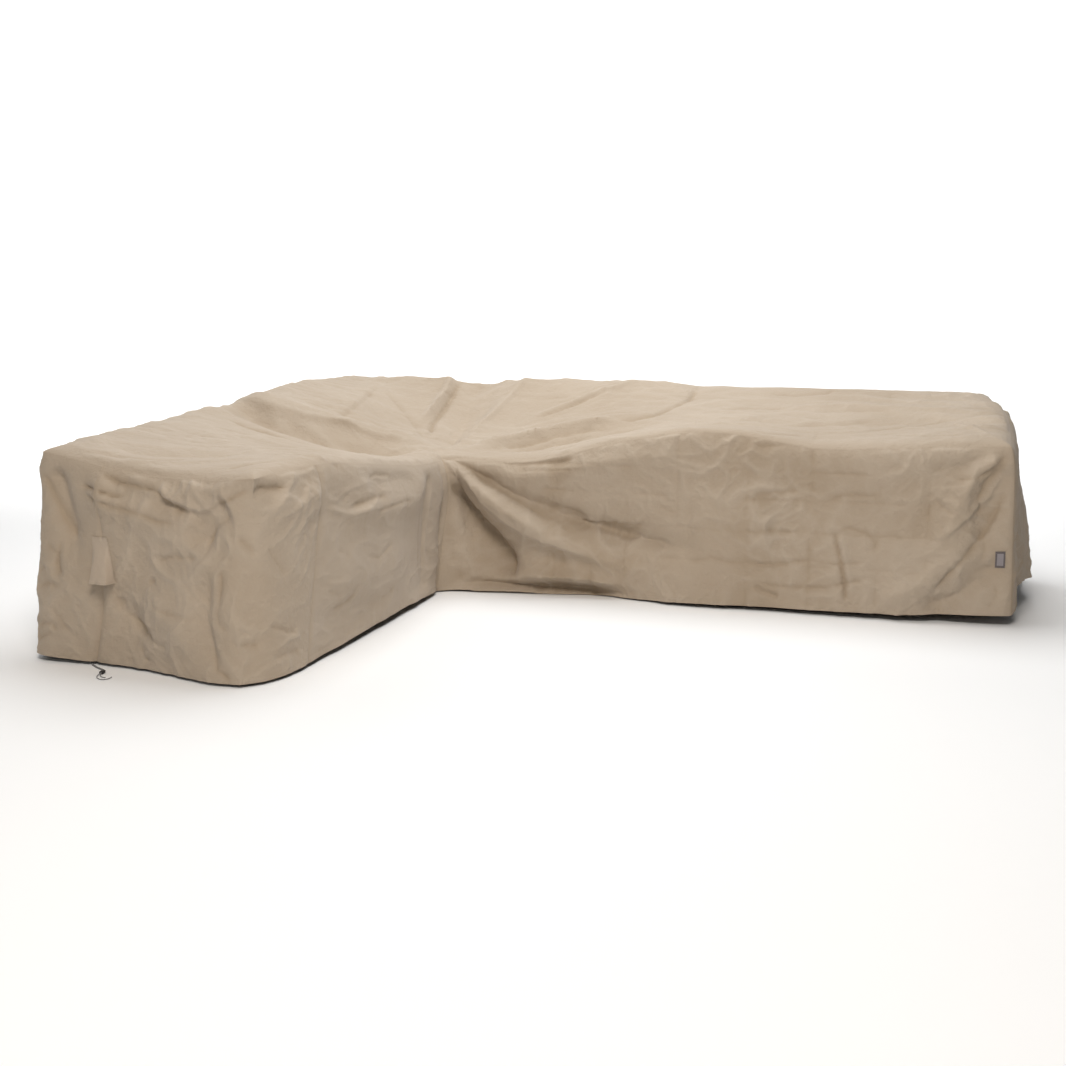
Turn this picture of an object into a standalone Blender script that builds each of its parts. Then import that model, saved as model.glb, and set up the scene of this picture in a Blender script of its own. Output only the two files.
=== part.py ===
"""A fitted, L-shaped rain cover, in the shape in which it hangs.

The cover is cut and sewn from one woven cloth: an L-shaped top and six wall panels, with a vent hood,
a small woven tag and a drawstring in the hem. All lengths are in metres, with +Z up. The shape is worked
out in a working frame that has the L's inner corner at its plan origin and the ground at height 0.
Every object is then moved so that the origin lies just under the top, where it is carried.
"""

from collections import namedtuple

import bpy
import numpy as np
from mathutils.bvhtree import BVHTree

# Driving dimensions of the cover.
WING = 0.88  # depth of both wings, front to back
SHORT = 1.38  # short wing, from the inner corner to its end
LONG = 2.16  # long wing, from the inner corner to its end
FRONT_TOP = 0.655  # the top above the ground along the front
BACK_RISE = 0.125  # how much higher the top is along the back
SIDE_RISE = (0.09, 0.05)  # how much it rises to the outer side, along the wing and in the step near the back
CORNER_SAG = 0.115  # how far the top sinks at the inner corner
SAG_REACH = 0.62  # how far from the inner corner it sinks
CLOTH = 0.002  # thickness of the cloth
SEAM_GAP = 0.0004  # gap between two panels at a seam
EDGE_ROLL = 0.018  # how far the cloth rolls over each top edge, down and out
ROLL_LENGTH = 0.028  # the distance over which it rolls
CARRIED_AT = (-0.44, 0.44)  # the plan point under which the top is carried, in the L's elbow
CARRY_GAP = 0.002  # the cloth clears what carries it

# The corners of the L in plan, in walking order, and the walls between them with their outward directions.
CORNERS = {
    "inner": (0.0, 0.0),
    "short_right": (0.0, -SHORT),
    "short_left": (-WING, -SHORT),
    "back_left": (-WING, WING),
    "back_right": (LONG, WING),
    "long_front": (LONG, 0.0),
}
Side = namedtuple("Side", "start end out")
SIDES = {
    "inner": Side("inner", "short_right", (1, 0)),
    "short_end": Side("short_right", "short_left", (0, -1)),
    "outer": Side("short_left", "back_left", (-1, 0)),
    "back": Side("back_left", "back_right", (0, 1)),
    "long_end": Side("back_right", "long_front", (1, 0)),
    "front": Side("long_front", "inner", (0, -1)),
}
ORDER = list(SIDES)

# Height of the top just inside each edge. The place is x on walls along X, and y on walls along Y.
Edge = namedtuple("Edge", "place height")
CREST = {
    "inner": Edge(
        place=(-1.38, -1.28, -1.10, -0.80, -0.45, -0.25, 0.0),
        height=(0.655, 0.662, 0.668, 0.632, 0.588, 0.566, 0.556),
    ),
    "short_end": Edge(
        place=(-0.88, -0.75, -0.62, -0.50, -0.27, -0.12, 0.0),
        height=(0.688, 0.672, 0.655, 0.640, 0.636, 0.640, 0.655),
    ),
    "outer": Edge(
        place=(-1.38, -1.13, -0.65, -0.38, -0.27, -0.19, -0.07, 0.14, 0.37, 0.88),
        height=(0.700, 0.704, 0.731, 0.755, 0.762, 0.750, 0.793, 0.814, 0.823, 0.822),
    ),
    "back": Edge(
        place=(-0.88, -0.49, -0.28, -0.23, -0.14, -0.06, 0.0, 0.66, 0.80, 0.90, 1.33, 1.74, 2.16),
        height=(0.822, 0.817, 0.815, 0.800, 0.794, 0.798, 0.813, 0.813, 0.811, 0.800, 0.803, 0.801, 0.794),
    ),
    "long_end": Edge(
        place=(0.0, 0.10, 0.35, 0.50, 0.88),
        height=(0.678, 0.690, 0.722, 0.744, 0.782),
    ),
    "front": Edge(
        place=(0.0, 0.16, 0.36, 0.49, 0.65, 0.81, 0.96, 1.12, 1.30, 1.45, 1.70, 1.95, 2.16),
        height=(0.556, 0.553, 0.558, 0.585, 0.632, 0.668, 0.694, 0.700, 0.678, 0.652, 0.655, 0.672, 0.678),
    ),
}

# Hem of each wall: its height above the ground, and how far it stands out from the nominal wall.
Hem = namedtuple("Hem", "place height out")
HEMS = {
    "inner": Hem(
        place=(-1.38, -1.10, -0.80, -0.45, -0.15, 0.0),
        height=(0.010, 0.018, 0.024, 0.028, 0.016, 0.006),
        out=(-0.045, -0.005, 0.0, 0.0, -0.015, -0.035),
    ),
    "short_end": Hem(
        place=(-0.88, -0.68, -0.50, -0.37, -0.20, 0.0),
        height=(0.022, 0.012, 0.010, 0.010, 0.010, 0.010),
        out=(0.013, 0.0, 0.006, 0.035, 0.085, 0.07),
    ),
    "outer": Hem(
        place=(-1.38, -0.90, -0.30, 0.30, 0.88),
        height=(0.022, 0.020, 0.018, 0.020, 0.020),
        out=(0.011, 0.020, 0.035, 0.025, 0.040),
    ),
    "back": Hem(
        place=(-0.88, -0.30, 0.40, 1.10, 1.70, 2.16),
        height=(0.020, 0.016, 0.020, 0.016, 0.020, 0.022),
        out=(0.040, 0.020, 0.035, 0.020, 0.030, 0.0),
    ),
    "long_end": Hem(
        place=(0.0, 0.20, 0.42, 0.65, 0.88),
        height=(0.042, 0.105, 0.095, 0.050, 0.022),
        out=(0.020, 0.055, 0.100, 0.118, 0.125),
    ),
    "front": Hem(
        place=(0.0, 0.15, 0.40, 0.65, 0.82, 1.0, 1.3, 1.6, 1.9, 2.16),
        height=(0.006, 0.006, 0.004, 0.004, 0.008, 0.015, 0.018, 0.022, 0.030, 0.042),
        out=(0.035, 0.005, -0.025, -0.020, 0.020, 0.030, 0.005, 0.0, 0.0, -0.004),
    ),
}

# How far each corner is drawn from its nominal place, at the top edge and at the hem.
Pull = namedtuple("Pull", "top hem")
PULLS = {
    "inner": Pull((-0.010, 0.0), (0.0, 0.0)),
    "short_right": Pull((-0.055, -0.035), (0.0, 0.0)),
    "short_left": Pull((0.030, 0.027), (0.0, 0.0)),
    "back_left": Pull((0.060, -0.010), (0.010, -0.010)),
    "back_right": Pull((-0.033, -0.010), (0.0, 0.0)),
    "long_front": Pull((-0.012, 0.002), (0.0, 0.0)),
}
PULL_REACH = 0.20
CORNER_ROUND = 0.012  # how far the rounded vertical corners lie inside the sharp ones
ROUND_REACH = 0.040
MITRE_REACH = 0.12  # how far a wall follows its neighbour's bulge round the corner


def smooth_table(at, places, values):
    """A curve through a table: cubic between two rows, its slope at a row the mean of the two chords."""
    places = np.asarray(places, float)
    values = np.asarray(values, float)
    chord = np.diff(values) / np.diff(places)
    slope = np.concatenate([chord[:1], (chord[1:] + chord[:-1]) / 2, chord[-1:]])
    row = np.clip(np.searchsorted(places, at) - 1, 0, len(places) - 2)
    span = places[row + 1] - places[row]
    t = np.clip((at - places[row]) / span, 0.0, 1.0)
    rising = t * t * (3 - 2 * t)
    bends = slope[row] * t * (1 - t) ** 2 - slope[row + 1] * t * t * (1 - t)
    return values[row] + (values[row + 1] - values[row]) * rising + span * bends


def ease(t):
    """0 below 0 and 1 above 1, with a smooth S between them."""
    t = np.clip(t, 0.0, 1.0)
    return t * t * (3 - 2 * t)


def fold_height(p, q, fold):
    """One fold's height at the points (p, q) of a panel.

    The height falls off as exp(-(distance / width)^1.6) from the fold's route, with one width to the left
    of the way walked and one to the right. A fold that starts at a corner opens like a fan: its width grows
    from a share of the full one to all of it. Its height fades in and out over its ends.
    """
    route = np.asarray(fold.route, float)
    start, step = route[:-1], np.diff(route, axis=0)
    length = np.hypot(step[:, 0], step[:, 1])
    walked = np.concatenate([[0.0], np.cumsum(length)])
    dp = p[..., None] - start[:, 0]
    dq = q[..., None] - start[:, 1]
    t = np.clip((dp * step[:, 0] + dq * step[:, 1]) / length**2, 0.0, 1.0)
    gap = np.hypot(dp - t * step[:, 0], dq - t * step[:, 1])
    near = np.argmin(gap, axis=-1)[..., None]
    distance = np.take_along_axis(gap, near, -1)[..., 0]
    cross = np.take_along_axis(step[:, 0] * dq - step[:, 1] * dp, near, -1)[..., 0]
    done = np.take_along_axis(walked[:-1] + t * length, near, -1)[..., 0] / walked[-1]
    width = np.where(cross > 0, fold.left, fold.right) * (fold.opens + (1 - fold.opens) * done)
    profile = np.exp(-((distance / width) ** 1.6))
    fade_in = ease(done / fold.fade_in) if fold.fade_in else 1.0
    fade_out = ease((1 - done) / fold.fade_out) if fold.fade_out else 1.0
    return fold.height * profile * fade_in * fade_out


# The main folds. A height is outward (upward on the top), and a route is walked from its first point.
# On a wall the points are (place along the wall, height above the ground), on the top (x, y).
Fold = namedtuple("Fold", "name height left right opens fade_in fade_out route")
FRONT_FOLDS = (
    Fold("corner valley", -0.070, 0.080, 0.180, 0.5, 0.35, 0.15,
         ((0.00, 0.54), (0.08, 0.385), (0.16, 0.27), (0.25, 0.17), (0.30, 0.05))),
    Fold("main swag", 0.066, 0.110, 0.085, 0.5, 0.3, 0.3,
         ((0.03, 0.53), (0.16, 0.44), (0.29, 0.34), (0.46, 0.245), (0.66, 0.165), (0.88, 0.09))),
    Fold("upper valley", -0.040, 0.100, 0.070, 0.45, 0.3, 0.4,
         ((0.06, 0.53), (0.17, 0.475), (0.31, 0.40), (0.50, 0.325), (0.75, 0.25), (1.00, 0.20))),
    Fold("top overhang", 0.022, 0.05, 0.05, 1, 0.3, 0.4,
         ((0.10, 0.53), (0.35, 0.50), (0.75, 0.56), (1.05, 0.62))),
    Fold("low bulge", 0.050, 0.045, 0.035, 1, 0.3, 0.3,
         ((0.26, 0.085), (0.42, 0.080), (0.60, 0.075), (0.80, 0.050))),
    Fold("tucked hem", -0.022, 0.030, 0.030, 1, 0.2, 0.3,
         ((0.24, 0.030), (0.45, 0.030), (0.65, 0.025), (0.80, 0.016))),
    Fold("middle swell", 0.024, 0.15, 0.15, 1, 0.2, 0.2,
         ((1.00, 0.36), (1.35, 0.34))),
    Fold("long hollow", -0.014, 0.10, 0.12, 1, 0.3, 0.3,
         ((1.15, 0.56), (1.60, 0.42), (1.90, 0.30))),
    Fold("pinch from corner", 0.022, 0.045, 0.035, 1, 0.1, 0.4,
         ((2.13, 0.63), (2.03, 0.53), (1.96, 0.38), (1.90, 0.22))),
    Fold("hollow by the pinch", -0.020, 0.040, 0.050, 1, 0.15, 0.4,
         ((2.13, 0.60), (2.09, 0.45), (2.05, 0.24))),
    Fold("flat pinch", -0.012, 0.030, 0.030, 1, 0.2, 0.5,
         ((2.10, 0.625), (1.97, 0.58), (1.80, 0.52))),
    Fold("low swell right", 0.014, 0.08, 0.07, 1, 0.3, 0.3,
         ((1.62, 0.06), (1.95, 0.13), (2.12, 0.14))),
)
INNER_FOLDS = (
    Fold("pleat at the corner", -0.022, 0.035, 0.035, 1, 0.0, 0.2,
         ((-0.045, 0.52), (-0.060, 0.02))),
    Fold("ridge by the corner", 0.034, 0.055, 0.050, 0.5, 0.1, 0.0,
         ((-0.08, 0.52), (-0.135, 0.35), (-0.145, 0.02))),
    Fold("second valley", -0.028, 0.055, 0.075, 0.5, 0.15, 0.1,
         ((-0.18, 0.53), (-0.25, 0.40), (-0.27, 0.03))),
    Fold("swag to the corner", 0.028, 0.080, 0.060, 1, 0.3, 0.3,
         ((-1.02, 0.47), (-0.70, 0.44), (-0.40, 0.43), (-0.15, 0.50))),
    Fold("top hollow", -0.012, 0.060, 0.060, 1, 0.3, 0.3,
         ((-0.85, 0.55), (-0.50, 0.52), (-0.30, 0.49))),
    Fold("swag from the tuck", 0.016, 0.040, 0.040, 1, 0.2, 0.3,
         ((-1.33, 0.53), (-1.20, 0.53), (-1.09, 0.59))),
    Fold("tuck", -0.016, 0.020, 0.020, 1, 0.1, 0.15,
         ((-1.38, 0.600), (-1.31, 0.592), (-1.27, 0.590))),
    Fold("belly", 0.026, 0.15, 0.15, 1, 0.3, 0.3,
         ((-1.15, 0.26), (-0.70, 0.22), (-0.40, 0.24))),
    Fold("low hollow", -0.014, 0.07, 0.07, 1, 0.3, 0.3,
         ((-1.25, 0.13), (-0.90, 0.12), (-0.60, 0.10))),
)
END_FOLDS = (
    Fold("valley from the corner", -0.036, 0.045, 0.065, 0.6, 0.15, 0.4,
         ((-0.83, 0.65), (-0.79, 0.58), (-0.745, 0.46), (-0.72, 0.30))),
    Fold("swag over the step", 0.034, 0.045, 0.070, 1, 0.25, 0.35,
         ((-0.68, 0.635), (-0.52, 0.622), (-0.40, 0.600), (-0.27, 0.555))),
    Fold("hollow under it", -0.034, 0.040, 0.050, 1, 0.2, 0.3,
         ((-0.62, 0.605), (-0.50, 0.580), (-0.38, 0.545), (-0.27, 0.510))),
    Fold("second swag", 0.034, 0.055, 0.060, 1, 0.25, 0.3,
         ((-0.70, 0.575), (-0.55, 0.535), (-0.42, 0.505), (-0.22, 0.490))),
    Fold("dent by the corner", -0.034, 0.060, 0.070, 1, 0.2, 0.3,
         ((-0.10, 0.57), (-0.18, 0.49), (-0.23, 0.38))),
    Fold("drooping top corner", 0.024, 0.060, 0.050, 1, 0.3, 0.2,
         ((-0.34, 0.60), (-0.20, 0.605), (-0.08, 0.60))),
    Fold("valley under the vent", -0.026, 0.055, 0.065, 1, 0.3, 0.3,
         ((-0.60, 0.27), (-0.52, 0.18), (-0.44, 0.09))),
    Fold("lower swell", 0.030, 0.09, 0.09, 1, 0.3, 0.3,
         ((-0.46, 0.26), (-0.32, 0.16), (-0.24, 0.08))),
    Fold("corner fold", -0.026, 0.030, 0.045, 1, 0.3, 0.2,
         ((-0.20, 0.36), (-0.20, 0.17), (-0.17, 0.04))),
)
OUTER_FOLDS = (
    Fold("front corner", 0.016, 0.050, 0.060, 1, 0.0, 0.4,
         ((-1.38, 0.640), (-1.28, 0.630), (-1.10, 0.610))),
    Fold("low drape", -0.016, 0.09, 0.09, 1, 0.3, 0.4,
         ((-1.20, 0.52), (-0.80, 0.34), (-0.55, 0.15))),
    Fold("step to the back", -0.024, 0.05, 0.07, 1, 0.1, 0.4,
         ((-0.20, 0.70), (-0.24, 0.45), (-0.32, 0.22))),
    Fold("back swell", 0.020, 0.12, 0.12, 1, 0.3, 0.3,
         ((-0.05, 0.40), (0.45, 0.30))),
)
BACK_FOLDS = (
    Fold("below the dip", -0.026, 0.07, 0.08, 1, 0.1, 0.4,
         ((-0.14, 0.74), (-0.12, 0.50), (-0.05, 0.25))),
    Fold("left drape", 0.018, 0.09, 0.09, 1, 0.3, 0.3,
         ((-0.62, 0.55), (-0.45, 0.20))),
    Fold("middle drape", -0.018, 0.10, 0.10, 1, 0.3, 0.3,
         ((0.70, 0.62), (0.95, 0.35), (1.00, 0.10))),
    Fold("right drape", 0.020, 0.10, 0.10, 1, 0.3, 0.3,
         ((1.55, 0.50), (1.75, 0.15))),
)
LONG_END_FOLDS = (
    Fold("hanging flute", 0.020, 0.07, 0.07, 1, 0.4, 0.0,
         ((0.33, 0.52), (0.42, 0.10))),
    Fold("hollow by the front", -0.022, 0.06, 0.07, 1, 0.3, 0.0,
         ((0.12, 0.50), (0.17, 0.10))),
    Fold("hollow by the back", -0.018, 0.06, 0.06, 1, 0.4, 0.0,
         ((0.64, 0.52), (0.66, 0.08))),
)
WALL_FOLDS = {
    "inner": INNER_FOLDS,
    "short_end": END_FOLDS,
    "outer": OUTER_FOLDS,
    "back": BACK_FOLDS,
    "long_end": LONG_END_FOLDS,
    "front": FRONT_FOLDS,
}
TOP_FOLDS = (
    Fold("ridge along the rise", 0.026, 0.200, 0.060, 0.7, 0.0, 0.25,
         ((-0.88, -0.06), (-0.70, -0.09), (-0.55, -0.02), (-0.40, 0.06), (-0.22, 0.11), (-0.04, 0.10))),
    Fold("hollow before the rise", -0.026, 0.060, 0.140, 1, 0.15, 0.25,
         ((-0.86, -0.20), (-0.62, -0.20), (-0.46, -0.14), (-0.28, -0.07), (-0.06, 0.00))),
    Fold("ridge to the back corner", 0.016, 0.120, 0.100, 1, 0.2, 0.2,
         ((-0.51, 0.10), (-0.55, 0.41), (-0.63, 0.74))),
    Fold("ridge left of the dip", 0.022, 0.060, 0.045, 0.6, 0.3, 0.0,
         ((-0.27, 0.36), (-0.26, 0.55), (-0.27, 0.71), (-0.30, 0.88))),
    Fold("valley from the dip", -0.028, 0.090, 0.085, 0.4, 0.2, 0.0,
         ((-0.03, 0.09), (-0.07, 0.33), (-0.11, 0.60), (-0.15, 0.88))),
    Fold("ridge right of the dip", 0.018, 0.055, 0.065, 0.5, 0.2, 0.0,
         ((0.00, 0.10), (0.00, 0.50), (0.03, 0.70), (0.10, 0.88))),
    Fold("back fan", 0.015, 0.055, 0.080, 0.5, 0.4, 0.0,
         ((0.10, 0.42), (0.31, 0.575), (0.42, 0.65), (0.62, 0.88))),
    Fold("front fan", 0.024, 0.120, 0.055, 0.4, 0.15, 0.35,
         ((0.04, 0.08), (0.22, 0.27), (0.40, 0.36), (0.60, 0.39), (0.86, 0.46))),
    Fold("hollow by the front edge", -0.022, 0.055, 0.090, 0.5, 0.2, 0.35,
         ((0.12, 0.09), (0.27, 0.19), (0.45, 0.24), (0.66, 0.24), (0.90, 0.30))),
    Fold("long ridge", 0.012, 0.060, 0.045, 1, 0.3, 0.2,
         ((1.20, 0.56), (1.55, 0.60), (1.80, 0.57), (2.00, 0.52), (2.12, 0.44))),
    Fold("long hollow", -0.010, 0.050, 0.090, 1, 0.3, 0.3,
         ((1.10, 0.30), (1.50, 0.37), (1.85, 0.42), (2.08, 0.36))),
    Fold("short wing wave", -0.012, 0.050, 0.080, 1, 0.3, 0.3,
         ((-0.80, -1.22), (-0.60, -1.20), (-0.40, -1.10), (-0.20, -1.02))),
    Fold("short wing crease", -0.010, 0.040, 0.060, 1, 0.3, 0.3,
         ((-0.74, -0.42), (-0.56, -0.45), (-0.40, -0.47), (-0.22, -0.44))),
)


def to_edge(x, y, side):
    """Distance from (x, y) on the top to one edge, and the place along that edge which is nearest."""
    if side == "inner":
        return np.hypot(x, np.maximum(y, 0)), np.clip(y, -SHORT, 0)
    if side == "short_end":
        return np.hypot(np.maximum(x, 0), y + SHORT), np.clip(x, -WING, 0)
    if side == "outer":
        return x + WING, y
    if side == "back":
        return WING - y, x
    if side == "long_end":
        return np.hypot(LONG - x, np.minimum(y, 0)), np.clip(y, 0, WING)
    return np.hypot(np.minimum(x, 0), y), np.clip(x, 0, LONG)


def plain_top(x, y):
    """Height of the top before its folds: level in front, with its rises to the back and side, and the sag."""
    back = BACK_RISE * np.clip(y / WING, 0, 1) ** 1.7
    side_height = SIDE_RISE[0] * ease((y + SHORT) / 1.2) + SIDE_RISE[1] * ease((y + 0.24) / 0.20)
    side = side_height * np.clip(-x / WING, 0, 1) ** 1.4
    rise = (back**4 + side**4 + 1e-12) ** 0.25
    sag = CORNER_SAG * np.exp(-((np.hypot(x, y) / SAG_REACH) ** 3.5))
    return FRONT_TOP + rise - sag


def edge_end(side, place):
    """The plan point of a wall's nominal line at a place along it."""
    first = np.asarray(CORNERS[SIDES[side].start])
    if SIDES[side].out[0]:
        return np.full_like(place, first[0]), place
    return place, np.full_like(place, first[1])


def top_height(x, y):
    """Height of the top: its plain form, brought to the crest heights, rolled down at its edges and folded."""
    shift = np.zeros_like(x)
    total = np.zeros_like(x)
    nearest = np.full_like(x, 9.0)
    for side in ORDER:
        distance, place = to_edge(x, y, side)
        wanted = smooth_table(place, CREST[side].place, CREST[side].height)
        weight = np.exp(-distance / 0.20)
        shift += weight * (wanted - plain_top(*edge_end(side, place)))
        total += weight
        nearest = np.minimum(nearest, distance)
    height = plain_top(x, y) + shift / np.maximum(total, 1.0)
    for fold in TOP_FOLDS:
        height = height + fold_height(x, y, fold) * ease(nearest / 0.06)
    return height - EDGE_ROLL * np.exp(-nearest / ROLL_LENGTH)


def pull(x, y, which):
    """How far the corners draw a point (x, y) of the plan, at the top edge (0) or the hem (1)."""
    dx = np.zeros_like(x)
    dy = np.zeros_like(y)
    for name, (cx, cy) in CORNERS.items():
        reach = np.exp(-(((x - cx) ** 2 + (y - cy) ** 2) / PULL_REACH**2))
        dx += PULLS[name][which][0] * reach
        dy += PULLS[name][which][1] * reach
    return dx, dy


def top_points(x, y):
    """Points of the top panel over the plan points (x, y)."""
    dx, dy = pull(x, y, 0)
    return np.stack([x + dx, y + dy, top_height(x, y)], axis=-1)


def bulge(side, place, height, down, depth):
    """How far a wall stands out of its nominal plane: flare, roll at the top edge, round corners and folds."""
    flare = down * smooth_table(place, HEMS[side].place, HEMS[side].out)
    roll = EDGE_ROLL * (1 - np.exp(-depth / ROLL_LENGTH))
    ends = (HEMS[side].place[0], HEMS[side].place[-1])
    round_off = np.zeros_like(place)
    for corner, end in zip(wall_corners(side), ends):
        if corner != "inner":
            round_off -= CORNER_ROUND * np.exp(-np.abs(place - end) / ROUND_REACH)
    folds = np.zeros_like(place)
    for fold in WALL_FOLDS[side]:
        folds = folds + fold_height(place, height, fold)
    rounding = round_off * (1 - np.exp(-depth / ROLL_LENGTH))
    return flare + roll + rounding + ease(depth / 0.07) * folds


def wall_corners(side):
    """The names of a wall's corners, lowest place first."""
    names = [SIDES[side].start, SIDES[side].end]
    axis = 1 if SIDES[side].out[0] else 0
    return sorted(names, key=lambda name: CORNERS[name][axis])


def wall_points(side, place, down):
    """Points of a wall at a place along it, and down from 0 at the top edge to 1 at the hem.

    The wall is straight from its top edge to its hem and then pushed out by its bulge. Near a corner it
    also follows its neighbour's bulge there, so that the two walls meet in one line.
    """
    x, y = edge_end(side, place)
    out = np.asarray(SIDES[side].out, float)
    top_dx, top_dy = pull(x, y, 0)
    hem_dx, hem_dy = pull(x, y, 1)
    crest = top_height(x, y)
    hem = smooth_table(place, HEMS[side].place, HEMS[side].height)
    height = crest + (hem - crest) * down
    depth = (crest - hem) * down
    push = bulge(side, place, height, down, depth)
    px = x + top_dx * (1 - down) + hem_dx * down + push * out[0]
    py = y + top_dy * (1 - down) + hem_dy * down + push * out[1]
    for corner, end in zip(wall_corners(side), (HEMS[side].place[0], HEMS[side].place[-1])):
        other = next(name for name in ORDER if name != side and corner in SIDES[name][:2])
        cx, cy = CORNERS[corner]
        there = np.full_like(place, cy if SIDES[other].out[0] else cx)
        follow = (1 - ease(np.abs(place - end) / MITRE_REACH)) * bulge(other, there, height, down, depth)
        px += follow * SIDES[other].out[0]
        py += follow * SIDES[other].out[1]
    return np.stack([px, py, height], axis=-1)


# The grid on which the panels are cut: lines across the plan and rows down the walls.
NEAR_EDGE = (0.022, 0.060)  # extra lines beside an edge, where the cloth rolls over
FINE_TO = 0.48  # the long wing's grid is fine as far as this, where the folds fan out of the inner corner
PLAN_STEP = {"short_x": 0.069, "fan_x": 0.032, "long_x": 0.100, "front_y": 0.070, "back_y": 0.075}
DOWN = (0.0, 0.03, 0.075, 0.14, 0.23, 0.33, 0.43, 0.53, 0.63, 0.73, 0.83, 0.92, 1.0)

# Two wall seams stand away from the corners. Each leans along its wall, more and more on the way down.
Seam = namedtuple("Seam", "side place lean power reach")
INNER_SEAM = Seam("inner", -1.11, -0.115, 1.3, 0.22)
END_SEAM = Seam("short_end", -0.613, -0.054, 3.0, 0.16)

# Beside the inner corner the front wall's columns lean along the folds that fan out of the corner.
FAN_LEAN = 0.27
FAN_PLACES = (0.06, 0.20, 1.10)  # the lean is whole from the first place, fades from the second, ends at the third


def grid_lines(low, high, step):
    """Places of the grid lines from low to high: two close to each end, and even steps between."""
    near = np.asarray(NEAR_EDGE)
    count = max(2, round((high - low - 2 * near[-1]) / step) + 1)
    middle = np.linspace(low + near[-1], high - near[-1], count)
    return np.concatenate([[low, low + near[0]], middle, [high - near[0], high]])


X_LINES = np.concatenate([
    grid_lines(-WING, 0, PLAN_STEP["short_x"])[:-1],
    grid_lines(0, FINE_TO, PLAN_STEP["fan_x"])[:-2],
    grid_lines(FINE_TO, LONG, PLAN_STEP["long_x"])[2:],
])
Y_LINES = np.concatenate([
    grid_lines(-SHORT, 0, PLAN_STEP["front_y"])[:-1],
    grid_lines(0, WING, PLAN_STEP["back_y"]),
])


def leaned(side, place, down):
    """A place along a wall, moved with the lean of the seam or the folds near it."""
    if side == "front":
        whole, fades, ends = FAN_PLACES
        place = place + FAN_LEAN * down * ease(place / whole) * (1 - ease((place - fades) / (ends - fades)))
    for seam in (INNER_SEAM, END_SEAM):
        if seam.side == side:
            place = place + seam.lean * down**seam.power * np.exp(-(((place - seam.place) / seam.reach) ** 2))
    return place


def wall_columns():
    """Every wall column round the cover, as (side, place), walked from the inner corner back to it."""
    columns = []
    for side in ORDER:
        axis = 1 if SIDES[side].out[0] else 0
        first = CORNERS[SIDES[side].start][axis]
        last = CORNERS[SIDES[side].end][axis]
        lines = Y_LINES if axis else X_LINES
        inside = lines[(lines >= min(first, last) - 1e-9) & (lines <= max(first, last) + 1e-9)]
        if last < first:
            inside = inside[::-1]
        columns += [(side, place) for place in inside[:-1]]
    return columns + [("front", 0.0)]


def column_points(columns):
    """Points of the wall columns, as an array of columns by rows."""
    down = np.asarray(DOWN)
    points = []
    for side, place in columns:
        places = leaned(side, np.full_like(down, place), down)
        points.append(wall_points(side, places, down))
    return np.stack(points)


def nearest_column(columns, side, place):
    """Number of the column on a side that is nearest to a place."""
    gaps = [abs(at - place) if name == side else 9.0 for name, at in columns]
    return int(np.argmin(gaps))


def grid_quads(rows, across):
    """Quads of a grid of points, rows by across, numbered row by row."""
    first = np.arange(rows * across).reshape(rows, across)
    return np.stack([first[:-1, :-1], first[1:, :-1], first[1:, 1:], first[:-1, 1:]], axis=-1).reshape(-1, 4)


def top_grid():
    """Points and quads of the L-shaped top: the plan grid without the cells inside the L's notch."""
    x, y = np.meshgrid(X_LINES, Y_LINES, indexing="ij")
    quads = grid_quads(len(X_LINES), len(Y_LINES))
    middle_x = x.reshape(-1)[quads].mean(axis=1)
    middle_y = y.reshape(-1)[quads].mean(axis=1)
    quads = quads[(middle_x < 0) | (middle_y > 0)]
    used, quads = np.unique(quads, return_inverse=True)
    points = top_points(x.reshape(-1)[used], y.reshape(-1)[used])
    return points, quads.reshape(-1, 4)


def panel_grids():
    """Points and quads of each panel, by name."""
    columns = wall_columns()
    points = column_points(columns)
    sides = [side for side, _ in columns]
    inner_seam = nearest_column(columns, "inner", INNER_SEAM.place)
    end_seam = nearest_column(columns, "short_end", END_SEAM.place)
    cuts = {
        "wall_inner": (0, inner_seam),
        "wall_short_end": (inner_seam, end_seam),
        "wall_outer": (end_seam, sides.index("back")),
        "wall_back": (sides.index("back"), sides.index("long_end")),
        "wall_long_end": (sides.index("long_end"), sides.index("front")),
        "wall_front": (sides.index("front"), len(columns) - 1),
    }
    grids = {"top": top_grid()}
    for name, (first, last) in cuts.items():
        block = points[first : last + 1]
        quads = grid_quads(*block.shape[:2])
        grids[name] = (block.reshape(-1, 3), quads)
    return grids


def quad_normals(points, quads):
    """Area-weighted normal of each quad, from its diagonals."""
    a, b, c, d = (points[quads[:, k]] for k in range(4))
    return np.cross(c - a, d - b)


def shared_normals(grids):
    """Unit normals at every grid's points, averaged over all the panels that meet there."""
    stacked = np.concatenate([points for points, _ in grids.values()])
    _, same = np.unique(np.round(stacked, 6), axis=0, return_inverse=True)
    same = same.reshape(-1)
    total = np.zeros((same.max() + 1, 3))
    first = 0
    for points, quads in grids.values():
        normals = quad_normals(points, quads)
        for k in range(4):
            np.add.at(total, same[first + quads[:, k]], normals)
        first += len(points)
    unit = (total / np.linalg.norm(total, axis=1)[:, None])[same]
    ends = np.cumsum([len(points) for points, _ in grids.values()])[:-1]
    return dict(zip(grids, np.split(unit, ends)))


def edge_table(quads):
    """Directed edges of the quads with no quad on their other side, and the two corners across from them."""
    edges = np.concatenate([np.roll(quads, -k, axis=1) for k in range(4)])
    key = np.sort(edges[:, :2], axis=1)
    _, same, count = np.unique(key, axis=0, return_inverse=True, return_counts=True)
    return edges[count[same.reshape(-1)] == 1]


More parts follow.
